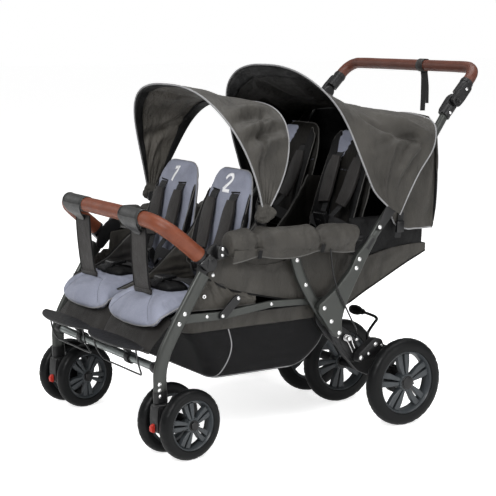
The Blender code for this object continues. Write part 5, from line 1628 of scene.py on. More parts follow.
def add_front_backs():
    """The front seat backs with their painted numbers."""
    route = [(-0.212, 0.410), (-0.206, 0.47), (-0.194, 0.56), (-0.180, 0.64), (-0.162, 0.708)]
    for word, side in SIDES:
        pad, place, length = add_back("front", word, side, route, "pad")
        low, high = length * 0.775, length * 0.915
        if side < 0:
            strokes = [[(0.011, high), (0.006, high - 0.014), (-0.004, low + 0.014), (-0.010, low)],
                       [(0.012, high - 0.003), (0.002, high - 0.004), (-0.009, high - 0.006)]]
        else:
            strokes = [[(-0.014, high - 0.012), (-0.006, high - 0.002), (0.009, high), (0.017, high - 0.010),
                        (0.010, low + 0.022), (-0.003, low + 0.012), (-0.016, low + 0.002)],
                       [(-0.017, low), (0.000, low), (0.015, low)]]
        numeral(f"numeral_{word}", strokes, pad, place, f"front_back_{word}")


def add_rear_seats():
    """The dark rear seats, and backs in the near-black lining as painted shade over their grey pads, with a
    grey head pad at one side.
    """
    seat = [(0.150, 0.462), (0.100, 0.455), (0.040, 0.455), (-0.010, 0.456), (-0.033, 0.438)]
    back = [(0.169, 0.488), (0.186, 0.55), (0.208, 0.64), (0.232, 0.73), (0.251, 0.800)]
    for word, side in SIDES:
        place, length = side_place(seat, side * SEAT_X)
        outline = quarter_rounded([(-0.118, 0.0), (-0.118, length * 0.8), (-0.090, length), (0.090, length),
                                   (0.118, length * 0.8), (0.118, 0.0)], 0.025)
        middle = [(-0.05, length * 0.05), (-0.05, length * 0.5), (-0.045, length * 0.92)]
        sewn_pad(f"rear_seat_pad_{word}", outline, place, 0.028, "black", "chassis", f"rear_seat_{word}",
                 (middle, flipped(middle)), 0.005, (0, 0.3, -1), "charcoal", seed=side * 2)
        # painted shade: the rear back pads are made in the near-black lining cloth for the shade under the
        # rear canopy; the real pads are the grey of the head pad below
        _, place, length = add_back("rear", word, side, back, "inside")
        cap = quarter_rounded([(-0.052, length * 0.985), (-0.090, length * 0.84), (-0.094, length * 0.62),
                               (-0.072, length * 0.45), (-0.050, length * 0.60), (-0.012, length * 0.80),
                               (0.006, length * 0.97)], 0.016)
        head = pillow(f"rear_head_{word}", cap, lambda a, b, h: place(a, b, h + 0.0165), 0.007, "pad",
                      f"rear_back_{word}")
        inflate(head, 0.002, 0.0045)


# Bar collars and crotch straps

def add_collars():
    """Sleeves on the bumper bar with tongues, the crotch straps down to the seat pads, and pommels."""
    for word, middle, half, x, x_low in (("right", -0.180, 0.056, -0.175, -0.170),
                                         ("left", 0.148, 0.052, 0.148, 0.142)):
        sleeve = []
        for k in range(33):
            a = 2 * math.pi * k / 32
            r = 0.0218 + 0.0003 * math.sin(3 * a)
            sleeve.append([at(middle + dx * half, -0.4740 + 0.0006 * abs(dx) - r * math.sin(a),
                              0.600 + r * math.cos(a)) for dx in (-1, -0.7, -0.3, 0.3, 0.7, 1)])
        collar = cloth_sheet(f"collar_{word}", sleeve, "collar", "bumper", 0.0018, -1, 0)
        flap = [at(middle, -0.4955, 0.600), at(middle, -0.4935, 0.588), at(middle, -0.4850, 0.574),
                at(middle, -0.4720, 0.562), at(middle, -0.4660, 0.553)]
        ribbon(f"collar_flap_{word}", flap, half * 2, 0.0030, "collar", "bumper", (1, 0, 0), 16,
               (0.97, 0.90, 0.72, 0.50, 0.26))
        seam = [at(middle - half * 0.97, -0.4740 - 0.0222 * math.sin(k * DEG),
                   0.600 + 0.0222 * math.cos(k * DEG))
                for k in range(-60, 130, 8)]
        cord_line(f"collar_seam_{word}", seam, 0.0007, "collar", "bumper")
        line = [at(x, -0.4620, 0.566), at(x, -0.4612, 0.535), at(x + (x_low - x) * 0.4, -0.4590, 0.490),
                at(x + (x_low - x) * 0.8, -0.4530, 0.430), at(x_low, -0.4470, 0.4045)]
        way = (0.995, 0.100, 0)
        piece = ribbon(f"crotch_strap_{word}", line, 0.070, 0.0036, "charcoal", None, way, 30,
                       (0.96, 1.0, 1.0, 1.02, 1.06))
        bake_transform(piece)
        for tag, off in WAYS:
            edge = [p + Vector(way) * off * 0.0345 + Vector((0, -0.0016, 0)) for p in smooth_path(line, 30)]
            piped = cord_line(f"strap_edge_{word}_{tag}", edge, 0.0018, "black", None)
            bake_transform(piped)
        foot = [at(x_low, -0.4500, 0.4105), at(x_low, -0.4470, 0.4010), at(x_low + 0.001, -0.4400, 0.3975)]
        ribbon(f"strap_foot_{word}", foot, 0.078, 0.0056, "charcoal", "chassis", way, 10)
        stitches(f"foot_stitch_{word}",
                 [at(x_low - 0.036, -0.4565, 0.4110), at(x_low + 0.036, -0.4500, 0.4110)], "piping_dim",
                 "chassis", 0.004, 0.0004)
    for word, side in SIDES:
        middle = side * SEAT_X
        hump = quarter_rounded([(-0.070, -0.052), (-0.030, -0.064), (0.030, -0.064), (0.070, -0.052),
                                (0.060, 0.030), (0.030, 0.052), (-0.030, 0.052), (-0.060, 0.030)], 0.024)
        pommel = pillow(f"pommel_{word}", hump,
                        lambda a, b, h, x=middle: at(x + a, -0.372 + b * 0.75, 0.409 - 0.06 * b + h),
                        0.030, "black", "chassis")
        inflate(pommel, 0.004, 0.0050)
        rumple(pommel, 0.0030, 46, side)
        for k, (a, b) in enumerate(((-0.085, 0.02), (0.085, 0.02), (0.02, -0.03))):
            tail = [at(middle + a * 0.2, -0.385 + b, 0.4290), at(middle + a * 0.6, -0.372 + b * 1.5, 0.4250),
                    at(middle + a, -0.335 + b, 0.4060)]
            ribbon(f"pommel_strap_{word}_{k}", tail, 0.026, 0.0022, "strap", "chassis", (0.3, 1, 0), 14)
        clip = plate(rounded([(-0.408, 0.424), (-0.362, 0.426), (-0.358, 0.438), (-0.404, 0.438)], 0.004, 3),
                     middle - 0.022, middle + 0.022, 0.004, 3)
        make(f"pommel_buckle_{word}", clip, "gloss", "chassis")


# Tub, rolls and basket

TUB_FOLDS = (((-0.30, 0.470), (-0.13, 0.440), 0.012, 0.0030), ((-0.10, 0.390), (-0.06, 0.480), 0.010, 0.0030),
             ((0.03, 0.360), (0.06, 0.480), 0.012, 0.0030), ((0.16, 0.400), (0.22, 0.480), 0.012, 0.0030),
             ((-0.02, 0.372), (0.10, 0.400), 0.010, 0.0025), ((0.22, 0.435), (0.30, 0.470), 0.008, 0.0020))


def add_tub():
    """The seat unit's outer cloth: two side walls with a curved hem, and the floor up to the scoop."""
    lower = [(-0.337, 0.444), (-0.270, 0.409), (-0.190, 0.387), (-0.100, 0.3665), (0.000, 0.346),
             (0.062, 0.332), (0.100, 0.332), (0.162, 0.3625), (0.230, 0.3945), (0.300, 0.4275),
             (0.345, 0.4465), (0.371, 0.4580)]
    upper = [(-0.329, 0.496), (-0.270, 0.500), (-0.190, 0.502), (-0.100, 0.502), (0.000, 0.502),
             (0.062, 0.500), (0.100, 0.478), (0.150, 0.457), (0.230, 0.471), (0.300, 0.479), (0.345, 0.480),
             (0.372, 0.4785)]
    low_line = flat_curve(lower, 90)
    high_line = flat_curve(upper, 90)
    for word, side in SIDES:
        rows = []
        for i in range(17):
            t = i / 16
            line = []
            for k in range(91):
                low, high = low_line[k], high_line[k]
                p = low.lerp(high, t)
                deep = (high - low).length
                belly = 0.0035 * math.sin(math.pi * t) * min(1, deep / 0.08)
                folds = creases(TUB_FOLDS, p.y, p.z)
                x = 0.2755 + belly + folds * math.sin(math.pi * t) + 0.0012 * wobble(p.y, p.z, side, 26)
                line.append(at(side * x, p.y, p.z))
            rows.append(line)
        wall = cloth_sheet(f"tub_wall_{word}", rows, "shell", "chassis", 0.002, 0, 1)
        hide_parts("seat_tub")
        hem = [at(side * 0.2762, p.y, p.z) for p in low_line]
        parts = [cord_line(f"tub_hem_{word}", hem, 0.0024, "black", "chassis"),
                 cord_line(f"tub_panel_seam_{word}",
                           side_line(((-0.235, 0.478), (-0.19, 0.4655), (-0.13, 0.466),
                                      (-0.085, 0.474)), side * 0.2800),
                           0.0008, "shell", "chassis", 40)]
        spots = merged([rivet(at(side * 0.2790, y, z), (side, 0, 0), 0.0036, 0.0018)
                        for y, z in ((-0.320, 0.452), (0.090, 0.400), (0.100, 0.372))])
        make(f"tub_snaps_{word}", spots, "steel", "chassis")
    floor = []
    for i in range(61):
        t = i / 60
        y = -0.190 + (0.371 + 0.190) * t
        z = 0.0
        for a, b in zip(low_line, low_line[1:]):
            if a.y <= y <= b.y + 1e-6:
                z = a.z + (b.z - a.z) * (y - a.y) / (b.y - a.y)
                break
        line = []
        for k in range(41):
            x = -TUB_HALF + 2 * TUB_HALF * k / 40
            sag = 0.006 * (1 - (x / TUB_HALF) ** 2) + 0.0018 * wobble(x, y, 0, 18)
            line.append(at(x, y, z + 0.002 - sag))
        floor.append(line)
    base = cloth_sheet("tub_floor", floor, "shell", "chassis", 0.002, 0, 0)

    def across(y, z):
        """A line across the tub."""
        return [at(-TUB_HALF + 2 * TUB_HALF * k / 40, y, z) for k in range(41)]

    back = cloth_sheet("tub_back", [across(0.3715, 0.4585 + 0.0175 * i / 4) for i in range(5)], "shell",
                       "chassis", 0.002, 0, 0)
    lip = cord_line("tub_lip", across(0.3720, 0.4765), 0.0022, "black", "chassis")
    lining = []
    for i in range(7):
        z = 0.452 + 0.115 * i / 6
        half = 0.2715 + 0.008 * i / 6
        corner = [(half, 0.105, z), (half, 0.20, z), (half, 0.300, z), (half, 0.352, z),
                  (half - 0.012, 0.3640, z), (half - 0.05, 0.3655, z), (0.12, 0.3655, z)]
        lining.append([at(*p) for p in mirrored(corner, [(0, 0.3655, z)])])
    lining = push_out(resample(lining, 12, 120), lambda u, v, p: 0.0016 * wobble(p.x, p.y, p.z, 34, 7))
    inner = cloth_sheet("rear_lining", lining, "black", "chassis", 0.0016, 0, 0)
    sheet_area(lining) / 0.1155
    edge, root = (smooth_path(side_line(points, 0), 40) for points in (
        ((-0.030, 0.448), (0.020, 0.475), (0.080, 0.535), (0.130, 0.600), (0.165, 0.655)),
        ((0.060, 0.440), (0.130, 0.450), (0.175, 0.500), (0.200, 0.570), (0.222, 0.650))))
    rows = [[a.lerp(b, t / 8) + Vector((0.0030 * wobble(a.y * 2, a.z, t * 0.1, 30, 3), 0, 0))
             for a, b in zip(edge, root)] for t in range(9)]
    part = cloth_sheet("rear_divider", rows, "inside", "chassis", 0.010, 0, 0)
    trim = cord_line("rear_divider_piping", rows[0], 0.0030, "piping_dim", "chassis")
    area = sheet_area(rows)


def add_cushion_sides():
    """Gathered cloth at each side of the front seat, under the tub's hem, with an eyelet."""
    top = [(-0.395, 0.405), (-0.368, 0.438), (-0.335, 0.447), (-0.270, 0.411), (-0.190, 0.389)]
    for word, side in SIDES:
        upper = flat_curve(top, 60)
        rows = []
        for i in range(13):
            t = i / 12
            line = []
            for k, p in enumerate(upper):
                low = Vector((0, -0.391 + 0.201 * k / 60, 0.3615 + 0.004 * abs(k / 30 - 1)))
                q = p.lerp(low, t)
                gather = 0.0038 * math.sin(k * 0.62 + 3 * wobble(k * 0.05, t, side, 3)) * (1 - 0.75 * t)
                line.append(at(side * (0.2745 + gather + 0.004 * math.sin(math.pi * t)), q.y, q.z))
            rows.append(line)
        cloth_side = cloth_sheet(f"cushion_side_{word}", rows, "lining", "chassis", 0.0018, 0, 1)
        pipe = cord_line(f"cushion_piping_{word}", rows[-1], 0.0021, "piping_dim", "chassis")
        area = sheet_area(rows)
        eyelet = turned([(0.0, 0.0020), (0.0, 0.0056), (0.0016, 0.0050), (0.0016, 0.0026)], 20,
                        at(side * 0.2792, -0.347, 0.399), (side, 0, 0))
        make(f"cushion_eyelet_{word}", eyelet, "steel", "chassis")


def add_rolls():
    """Padded arm rolls, gathered at two tufts, with a scalloped skirt whose hem is piped."""
    tufts = (-0.215, -0.020)
    for word, side in SIDES:
        path, sections = [], []
        start, end, count = -0.294, 0.119, 84
        for k in range(count + 1):
            t = k / count
            y = start + (end - start) * t
            pinch = sum(0.0085 * math.exp(-((y - tuft) / 0.012) ** 2) for tuft in tufts)
            shrink = pinch + 0.010 * abs(2 * t - 1) ** 10
            path.append(at(side * ROLL_X, y, ROLL_Z + 0.004 * math.cos(t * math.pi)))
            section = []
            for u, v in oval(0.0370 - shrink, 0.0385 - shrink, 36):
                turn = math.atan2(u, v * side)
                gather = 0.0042 * math.sin(turn * 9 + y * 40) * sum(
                    math.exp(-((y - tuft) / 0.028) ** 2) for tuft in tufts)
                swell = 0.0035 * wobble(y * 1.2, turn * 0.03, side, 30)
                scale = 1 + (gather + swell) / 0.038
                section.append((u * scale, v * scale))
            sections.append(section)
        roll = make(f"roll_{word}", sweep(path, sections, (1, 0, 0)), "shell", None, 180)
        inflate(roll, 0.005, 0.0055)
        lines = [[at(side * (ROLL_X + 0.04 * math.cos(d * DEG)), tuft, ROLL_Z + 0.04 * math.sin(d * DEG))
                  for d in range(-40, 100, 8)] for tuft in tufts]
        tree = surface(roll)
        groove(roll, [laid_on(tree, line) for line in lines], 0.0055, 0.008)
        for vert in roll.data.vertices:
            p = vert.co
            slope = (p.z - 0.460) / 0.115
            limit = 0.066 + 0.055 * slope + SHIFT
            if p.y > limit:
                p.y = limit + (p.y - limit) * 0.12
            if -0.115 + SHIFT < p.y < -0.055 + SHIFT and p.z < 0.505 and 0.2895 < abs(p.x) < 0.3105:
                p.z = max(p.z, 0.500)
        rumple(roll, 0.0034, 26, side, (1, 0.6, 1))
        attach(roll, "chassis")
        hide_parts(f"arm_roll_{word}")
        skirt_rows = []
        for i in range(9):
            t = i / 8
            line = []
            for k in range(97):
                y = -0.290 + (0.088 + 0.290) * k / 96
                arcs = abs(math.sin(math.pi * (y - tufts[0]) / (tufts[1] - tufts[0])))
                low = 0.4985 - 0.0135 * arcs
                z = 0.519 + (low - 0.519) * t
                x = 0.3345 - 0.0075 * t - 0.002 * (1 - arcs)
                line.append(at(side * (x + 0.0010 * math.sin(y * 190) * (1 - arcs)), y, z))
            skirt_rows.append(line)
        skirt = cloth_sheet(f"roll_skirt_{word}", skirt_rows, "shell", "chassis", 0.0018, 0, 0)
        pipe = cord_line(f"roll_piping_{word}", skirt_rows[-1], 0.0021, "piping_dim", "chassis")
        for k, tuft in enumerate(tufts):
            tab = sided(side, [(0.3405, tuft, 0.514), (0.3370, tuft, 0.503), (0.3335, tuft, 0.493)])
            ribbon(f"roll_tab_{word}_{k}", tab, 0.012, 0.0020, "black", "chassis", (0, 1, 0), 8)


def add_basket():
    """Storage basket: a cloth band over a black net, piped at its lower edges, open on top."""
    levels = [(0.345, -0.414, 0.030, 0.2725), (0.330, -0.409, 0.038, 0.2735), (0.300, -0.390, 0.046, 0.2745),
              (0.262, -0.362, 0.046, 0.2735), (0.225, -0.342, 0.022, 0.2715), (0.192, -0.327, -0.020, 0.2680),
              (0.178, -0.316, -0.055, 0.2590)]
    corner = 0.030

    def ring(z, front, rear, half):
        """The basket's outline at a height, in short steps."""
        points = []
        for cx, cy, start in ((half - corner, rear - corner, 0), (-half + corner, rear - corner, 90),
                              (-half + corner, front + corner, 180), (half - corner, front + corner, 270)):
            for k in range(7):
                a = (start + 90 * k / 6) * DEG
                points.append((cx + corner * math.cos(a), cy + corner * math.sin(a), z))
        out = []
        for k, point in enumerate(points):
            after = Vector(points[(k + 1) % len(points)])
            here = Vector(point)
            pieces = max(1, round((after - here).length / 0.012))
            out += [here.lerp(after, j / pieces) for j in range(pieces)]
        return out

    rows = [ring(*level) for level in levels]
    count = min(len(row) for row in rows)

    def even(row):
        """A ring read at the same number of even steps as the others."""
        closed = row + [row[0]]
        marks = [0.0]
        for a, b in zip(closed, closed[1:]):
            marks.append(marks[-1] + (b - a).length)
        out, k = [], 0
        for i in range(count):
            want = marks[-1] * i / count
            while marks[k + 1] < want:
                k += 1
            out.append(closed[k].lerp(closed[k + 1], (want - marks[k]) / max(1e-9, marks[k + 1] - marks[k])))
        return out

    rows = [even(row) for row in rows]
    columns = [smooth_path([row[k] for row in rows], 36) for k in range(count)]
    dense = [[columns[k][i] for k in range(count)] for i in range(37)]
    for i, row in enumerate(dense):
        t = i / 36
        for p in row:
            inward = Vector((p.x / 0.27, (p.y + 0.185) / 0.215, 0))
            sag = 0.0060 * math.sin(math.pi * t) * (0.6 + 0.4 * wobble(p.x, p.y, p.z, 9, 4))
            ripple = 0.0022 * wobble(p.x, p.y, p.z * 0.6, 34, 2) * math.sin(math.pi * min(1, t * 1.4))
            side_face = 1 if abs(p.x) > 0.25 else 0.6
            p += inward.normalized() * ((0.001 - sag) * side_face + ripple)
            p.y += SHIFT
    band = cloth_sheet("basket_band", dense[:12], "shell", "chassis", 0.002, 0, 0, wrap=True)
    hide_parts("basket")
    lower = dense[11:]
    wall = cloth_sheet("basket_net", lower, "mesh", "chassis", 0.0012, 0, 0, wrap=True)
    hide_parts("basket")
    base = lower[-1]
    bm = bmesh.new()
    rim = [bm.verts.new(p) for p in base]
    middle = Vector((0, sum(p.y for p in base) / len(base), 0.1770))
    last = rim
    for r in (0.8, 0.6, 0.4, 0.2):
        inner = [bm.verts.new(Vector(p).lerp(middle, 1 - r)) for p in base]
        for k in range(len(base)):
            bm.faces.new((last[k - 1], last[k], inner[k], inner[k - 1]))
        last = inner
    bm.faces.new(last)
    floor = make("basket_floor_cloth", bm, "black", None, 60)
    thicken(floor, 0.002, 0)
    apply_modifiers(floor)
    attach(floor, "chassis")
    trims = [cord_line("basket_rim", dense[0], 0.0030, "black", "chassis", closed=True),
             cord_line("basket_band_seam", dense[11], 0.0012, "black", "chassis", closed=True),
             cord_line("basket_low_piping", lower[-2], 0.0020, "piping", "chassis", closed=True)]
    for word, side in SIDES:
        for tag, y_low in (("front", -0.319), ("rear", -0.059)):
            best = min(range(count), key=lambda k: (abs(lower[-1][k].y - SHIFT - y_low)
                                                    + 3 * abs(lower[-1][k].x - side * 0.255)))
            line = [row[best] for row in lower]
            trims.append(cord_line(f"basket_{tag}_piping_{word}", line, 0.0018, "piping", "chassis"))
    sheet_area([row + row[:1] for row in lower])


# Canopies and curtain

FRONT_FOLDS = (((0.10, 0.05), (0.19, 0.95), 0.022, -0.006), ((0.17, 0.02), (0.27, 0.98), 0.020, -0.006),
               ((0.25, 0.10), (0.36, 0.90), 0.022, -0.005), ((0.90, 0.08), (0.80, 0.92), 0.020, -0.005),
               ((0.95, 0.20), (0.72, 0.98), 0.016, -0.004), ((0.66, 0.02), (0.60, 0.70), 0.018, -0.003),
               ((0.04, 0.2), (0.30, 0.75), 0.016, 0.004), ((0.97, 0.30), (0.84, 0.60), 0.014, 0.003))
REAR_FOLDS = (((0.22, 0.98), (0.34, 0.45), 0.020, -0.010), ((0.78, 0.98), (0.66, 0.45), 0.020, -0.010),
              ((0.20, 0.92), (0.28, 0.30), 0.018, 0.007), ((0.80, 0.92), (0.72, 0.30), 0.018, 0.007),
              ((0.10, 0.60), (0.24, 0.90), 0.018, -0.006), ((0.90, 0.60), (0.76, 0.90), 0.018, -0.006),
              ((0.06, 0.30), (0.20, 0.55), 0.014, -0.004), ((0.94, 0.30), (0.80, 0.55), 0.014, -0.004),
              ((0.40, 0.10), (0.46, 0.60), 0.022, -0.005), ((0.60, 0.10), (0.56, 0.60), 0.022, -0.005),
              ((0.24, 0.78), (0.18, 0.20), 0.010, 0.004), ((0.76, 0.78), (0.82, 0.20), 0.010, 0.004))


def arch(hub, half_width, height, tilt, angles, power=3.0, sag=0.0, bow=0.0):
    """A hoop from hub to hub: a superellipse leaning by tilt, and by bow more at its feet."""
    points = []
    for a in angles:
        c, s = math.cos(a), math.sin(a)
        x = half_width * math.copysign(abs(c) ** (2 / power), c)
        r = (height - sag * abs(s) ** 2) * abs(s) ** (2 / power)
        lean = tilt + bow * (1 - s) ** 1.5
        points.append(at(x, hub[0] + r * math.sin(lean), hub[1] + r * math.cos(lean)))
    return points


def add_front_canopy():
    """One curved sheet between the raked brim and the rear hoop, gathered at the hubs."""
    low, count = 0.020, 96
    angles = [low + (math.pi - 2 * low) * k / count for k in range(count + 1)]
    hoops = [(-18.5, 8.5, 0.356, 0.310, 2.7, 0.0), (-9.0, 9.0, 0.338, 0.304, 2.9, 0.010),
             (1.5, 9.5, 0.320, 0.301, 3.0, 0.016), (13.0, 10.0, 0.314, 0.301, 3.1, 0.010),
             (24.5, 11.0, 0.315, 0.301, 3.2, 0.0)]
    coarse = [arch(FRONT_HUB, half, height, tilt * DEG, angles, power, sag, bow * DEG)
              for tilt, bow, height, half, power, sag in hoops]
    columns = [smooth_path([row[k] for row in coarse], 28) for k in range(count + 1)]
    rows = [[columns[k][i] for k in range(count + 1)] for i in range(29)]

    def fold(u, v, p):
        """Radial creases, gathers at both hubs and a slight sag."""
        inner = math.sin(math.pi * v)
        grain = 0.0040 * wobble(p.x, p.y, p.z, 15, 1) + 0.0026 * wobble(p.x, p.y, p.z, 38, 2)
        height = 3.0 * creases(FRONT_FOLDS, u, v, 0.45) + grain * inner
        ends = max(0, 1 - min(u, 1 - u) / 0.06)
        height += 0.0045 * ends * math.sin(v * 34)
        return height * inner ** 0.5 - 0.004 * inner * min(1, min(u, 1 - u) / 0.2)

    rows = push_out(rows, fold)
    sheet = cloth_sheet("front_canopy_cloth", rows, "shell", "front_hood", 0.0022, 0, 1, "hood_lining")
    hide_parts("front_canopy")
    trims = [cord_line("front_brim_piping", rows[0], 0.0025, "piping", "front_hood"),
             cord_line("front_rear_piping", rows[-1], 0.0025, "piping", "front_hood"),
             cord_line("front_seam_mid", rows[13], 0.0009, "shell", "front_hood")]
    centre = at(0, FRONT_HUB[0], FRONT_HUB[1] + 0.12)
    for tag, span in (("front", (0, 5)), ("rear", (28, 23))):
        inner = []
        for j in range(5):
            t = j / 4
            line = []
            for k in range(count + 1):
                p = rows[span[0]][k].lerp(rows[span[1]][k], t * 0.75)
                line.append(p + (centre - p).normalized() * 0.0036)
            inner.append(line)
        band = cloth_sheet(f"front_binding_{tag}", inner, "black", "front_hood", 0.0018, 0, 0)
        trims.append(band)
    y, z = FRONT_HUB
    for word, side in SIDES:
        hub = turned([(0, 0), (0, 0.0150), (0.0020, 0.0155), (0.0130, 0.0145), (0.0175, 0.0105), (0.0180, 0)],
                     28, at(side * 0.2855, y, z), (side, 0, 0))
        make(f"hood_hub_{word}", hub, "plastic", "front_hood")
        outline = quarter_rounded([(-0.030, -0.012), (-0.006, -0.020), (0.028, -0.012), (0.036, 0.012),
                                   (0.012, 0.034), (-0.018, 0.030)], 0.012)
        bunch = pillow(f"hood_bunch_{word}", outline,
                       lambda a, b, h, s=side: at(s * (0.303 + h), y + 0.004 + a, z + 0.010 + b), 0.024,
                       "shell", "front_hood")
        inflate(bunch, 0.003, 0.0035)
        rumple(bunch, 0.0045, 60, side)
        rumple(bunch, 0.0018, 150, side)
    area = sheet_area(rows)


def canopy_rows():
    """The rear canopy's brim, middle line and rear edge."""
    brim = [(0.3370, 0.190, 0.600), (0.3330, 0.150, 0.640), (0.3260, 0.128, 0.690), (0.317, 0.105, 0.750),
            (0.302, 0.084, 0.812), (0.280, 0.062, 0.866), (0.235, 0.042, 0.912), (0.165, 0.027, 0.948),
            (0.085, 0.019, 0.966)]
    middle = [(0.3385, 0.212, 0.586), (0.3390, 0.203, 0.628), (0.339, 0.202, 0.680), (0.337, 0.200, 0.735),
              (0.327, 0.194, 0.784), (0.293, 0.184, 0.822), (0.240, 0.176, 0.848), (0.165, 0.170, 0.866),
              (0.085, 0.167, 0.874)]
    rear = [(0.3385, 0.231, 0.574), (0.3395, 0.262, 0.632), (0.3395, 0.298, 0.690), (0.3385, 0.338, 0.740),
            (0.3330, 0.354, 0.776), (0.3140, 0.366, 0.808), (0.262, 0.379, 0.824), (0.165, 0.389, 0.832),
            (0.085, 0.392, 0.826)]

    tops = ((0, 0.018, 0.970), (0, 0.166, 0.876), (0, 0.393, 0.822))
    return [[at(*p) for p in mirrored(half, [top])] for half, top in zip((brim, middle, rear), tops)]


def add_rear_canopy():
    """The larger hood, from its brim back over the uprights, slack and creased at its rear corners."""
    lines = [smooth_path(row, CANOPY_STEPS) for row in canopy_rows()]
    rows = []
    for i in range(37):
        t = i / 36
        row = []
        for a, b, c in zip(*lines):
            p = a.lerp(b, t * 2) if t <= 0.5 else b.lerp(c, t * 2 - 1)
            high = max(0.0, (p.z - 0.74) / 0.2)
            slack = 0.008 * math.sin(math.pi * (t * 2 % 1)) * min(1, high)
            row.append(p - Vector((0, 0, slack)))
        rows.append(row)

    def fold(u, v, p):
        """Creases that fan from the rear corners."""
        inner = math.sin(math.pi * v) ** 0.5 if 0 < v < 1 else 0
        return inner * (2.3 * creases(REAR_FOLDS, u, v, 0.5) + 0.0048 * wobble(p.x, p.y, p.z, 11, 5)
                        + 0.0022 * wobble(p.x, p.y, p.z, 34, 6))

    rows = push_out(rows, fold)
    sheet = cloth_sheet("rear_canopy_cloth", rows, "shell", "rear_hood", 0.0022, 0, 1, "inside")
    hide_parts("rear_canopy")
    trims = [cord_line("rear_brim_piping", rows[0], 0.0026, "piping", "rear_hood"),
             cord_line("rear_edge_piping", rows[-1], 0.0026, "piping", "rear_hood")]
    centre = at(0, 0.20, 0.66)
    inner = []
    for j in range(5):
        inner.append([rows[0][k].lerp(rows[6][k], j / 4 * 0.8) + (centre - rows[0][k]).normalized() * 0.0036
                      for k in range(CANOPY_STEPS + 1)])
    trims.append(cloth_sheet("rear_binding", inner, "black", "rear_hood", 0.0018, 0, 0))
    y, z = REAR_HUB
    for word, side in SIDES:
        stay = slab(rounded([(y - 0.012, z - 0.004), (y + 0.002, z - 0.012), (y + 0.012, z - 0.004),
                             (0.224, 0.592), (0.196, 0.616)], 0.008, 4), side, 0.3345, 0.3375, 0.0008)
        make(f"hood_stay_{word}", stay, "plastic", "rear_hood")
        make(f"stay_rivet_{word}", rivet(at(side * 0.3375, y, z), (side, 0, 0), 0.0046, 0.0026), "steel",
             "rear_hood")
    for word, side in SIDES:
        edge = [p for p in rows[-1][::side] if p.x * side > 0.276 and p.z > 0.66]
        lines = [[p.lerp(Vector((side * 0.270, p.y - 0.010, p.z - 0.004)), t / 4) for p in edge]
                 for t in range(5)]
        gusset = cloth_sheet(f"rear_gusset_{word}", lines, "inside", "rear_hood", 0.0016, 0, 0)
        size = sheet_area(lines)
    area = sheet_area(rows)


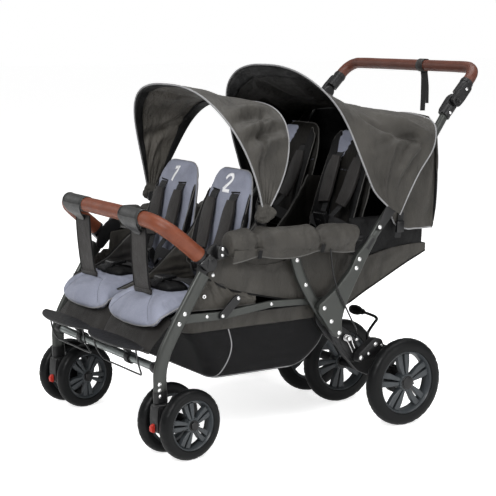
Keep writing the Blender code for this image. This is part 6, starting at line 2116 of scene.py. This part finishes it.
def add_curtain():
    """Cloth that hangs from the rear canopy's edge behind the seats, slack in soft pleats."""
    levels = [(0.8245, 0.262, 0.370, 0.3890), (0.797, 0.284, 0.366, 0.3930), (0.730, 0.290, 0.330, 0.3930),
              (0.650, 0.297, 0.275, 0.3880), (0.590, 0.300, 0.234, 0.3820), (0.556, 0.300, 0.238, 0.3770),
              (0.536, 0.300, 0.256, 0.3730), (0.526, 0.300, 0.290, 0.3710)]
    coarse = []
    for z, half, front, back in levels:
        lift = 0.009 if z > 0.82 else 0.0
        side = [(half, min(front, back - 0.012), z), (half, back - 0.010, z),
                (half - 0.010, back, z + lift * 0.4), (0.15, back + 0.003, z + lift)]
        coarse.append([at(*p) for p in mirrored(side, [(0, back, z)])])
    rows = resample(coarse, 56, 140)

    def fold(u, v, _):
        """Soft pleats that deepen downwards, with a crease near each side."""
        grow = 0.25 + 0.75 * math.sin(math.pi * min(1, v * 0.9 + 0.05))
        pleat = 0.0035 * math.sin(u * 46 + 1.6 * math.sin(v * 3)) + 0.0024 * math.sin(u * 83 + v * 4)
        side_fold = crease(u, v * 0.5, (0.12, 0.02), (0.06, 0.45), 0.020, -0.005)
        side_fold += crease(u, v * 0.5, (0.88, 0.02), (0.94, 0.45), 0.020, -0.005)
        return (pleat + side_fold) * grow * (0.4 if v < 0.04 else 1) * 0.8

    rows = push_out(rows, fold)
    sheet = cloth_sheet("curtain_cloth", rows, "shell", "handle_frame", 0.0022, 0, 0, "black")
    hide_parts("back_curtain")
    trims = [cord_line("curtain_hem", rows[-1], 0.0024, "piping", "handle_frame"),
             cord_line("curtain_top_hem", rows[0], 0.0016, "shell", "handle_frame")]
    for word, k in (("left", 0), ("right", 140)):
        trims.append(cord_line(f"curtain_edge_{word}", [row[k] for row in rows], 0.0022, "piping",
                               "handle_frame"))
    area = sheet_area(rows)
    for word, side in SIDES:
        strap = sided(side, [(0.245, 0.3985, 0.770), (0.246, 0.3985, 0.700), (0.247, 0.3960, 0.640)])
        ribbon(f"curtain_strap_{word}", strap, 0.022, 0.0016, "strap", "handle_frame", (1, 0, 0), 16)
        clasp = slab(rounded([(0.3960, 0.690), (0.4050, 0.690), (0.4070, 0.712), (0.4050, 0.734),
                              (0.3960, 0.734)], 0.003, 3), side, 0.231, 0.261, 0.002)
        make(f"curtain_buckle_{word}", clasp, "gloss", "handle_frame")
        drop = sided(side, [(0.3045, 0.262, 0.575), (0.3050, 0.258, 0.545), (0.3030, 0.252, 0.505)])
        ribbon(f"flap_strap_{word}", drop, 0.020, 0.0016, "strap", "handle_frame", (0, 1, 0), 12)
        clasp = slab(rounded([(0.243, 0.520), (0.268, 0.520), (0.270, 0.552), (0.246, 0.552)], 0.004, 3),
                     side, 0.3035, 0.3105, 0.0015)
        make(f"flap_buckle_{word}", clasp, "gloss", "handle_frame")


def add_wrist_strap():
    """Cloth loop round the handle bar with its safety strap."""
    y, z = along_handle(0.1245)
    ring = []
    for k in range(29):
        a = 2 * math.pi * k / 28
        ring.append([at(0.060 + dx, y + 0.0182 * math.sin(a), z + 0.0182 * math.cos(a))
                     for dx in (-0.014, 0, 0.014)])
    collar = cloth_sheet("wrist_collar", ring, "charcoal", "handle", 0.0016, 0, 0)
    drop = [at(0.060, y + 0.002, z - 0.0185), at(0.060, y + 0.002, z - 0.050),
            at(0.062, y + 0.000, z - 0.095), at(0.065, y - 0.004, z - 0.132)]
    ribbon("wrist_strap", drop, 0.018, 0.0016, "strap", "handle", (1, 0.2, 0), 24)
    for k, px in enumerate((0.054, 0.072)):
        loop = [at(px, y + 0.001, z - 0.0180), at(px + 0.003, y + 0.004, z - 0.060),
                at(px + 0.006, y + 0.002, z - 0.110)]
        ribbon(f"wrist_tail_{k}", loop, 0.010, 0.0014, "strap", "handle", (1, 0.4, 0), 20)


# The scene

add_camera()
add_stage()

for name, node in frame["nodes"].items():
    slot = next(s["material_slot"] for s in frame["record"]["subparts"] if s["node"] == name)
    finish = {"wheel": "rim", "dark": "black"}.get(slot, slot)
    node.data.materials.clear()
    node.data.materials.append(MATS[finish])

for add in (add_wheels, add_casters, add_legs, add_crossbar, add_joints, add_seat_rails, add_brackets,
            add_uprights, add_knuckles, add_grip, add_bumper, add_rear_axle, add_brake_pedal, add_brake_cable,
            add_footrest, add_front_seats, add_calf_panels, add_dividers, add_front_backs, add_rear_seats,
            add_collars, add_tub, add_cushion_sides, add_rolls, add_basket, add_front_canopy, add_rear_canopy,
            add_curtain, add_wrist_strap):
    add()
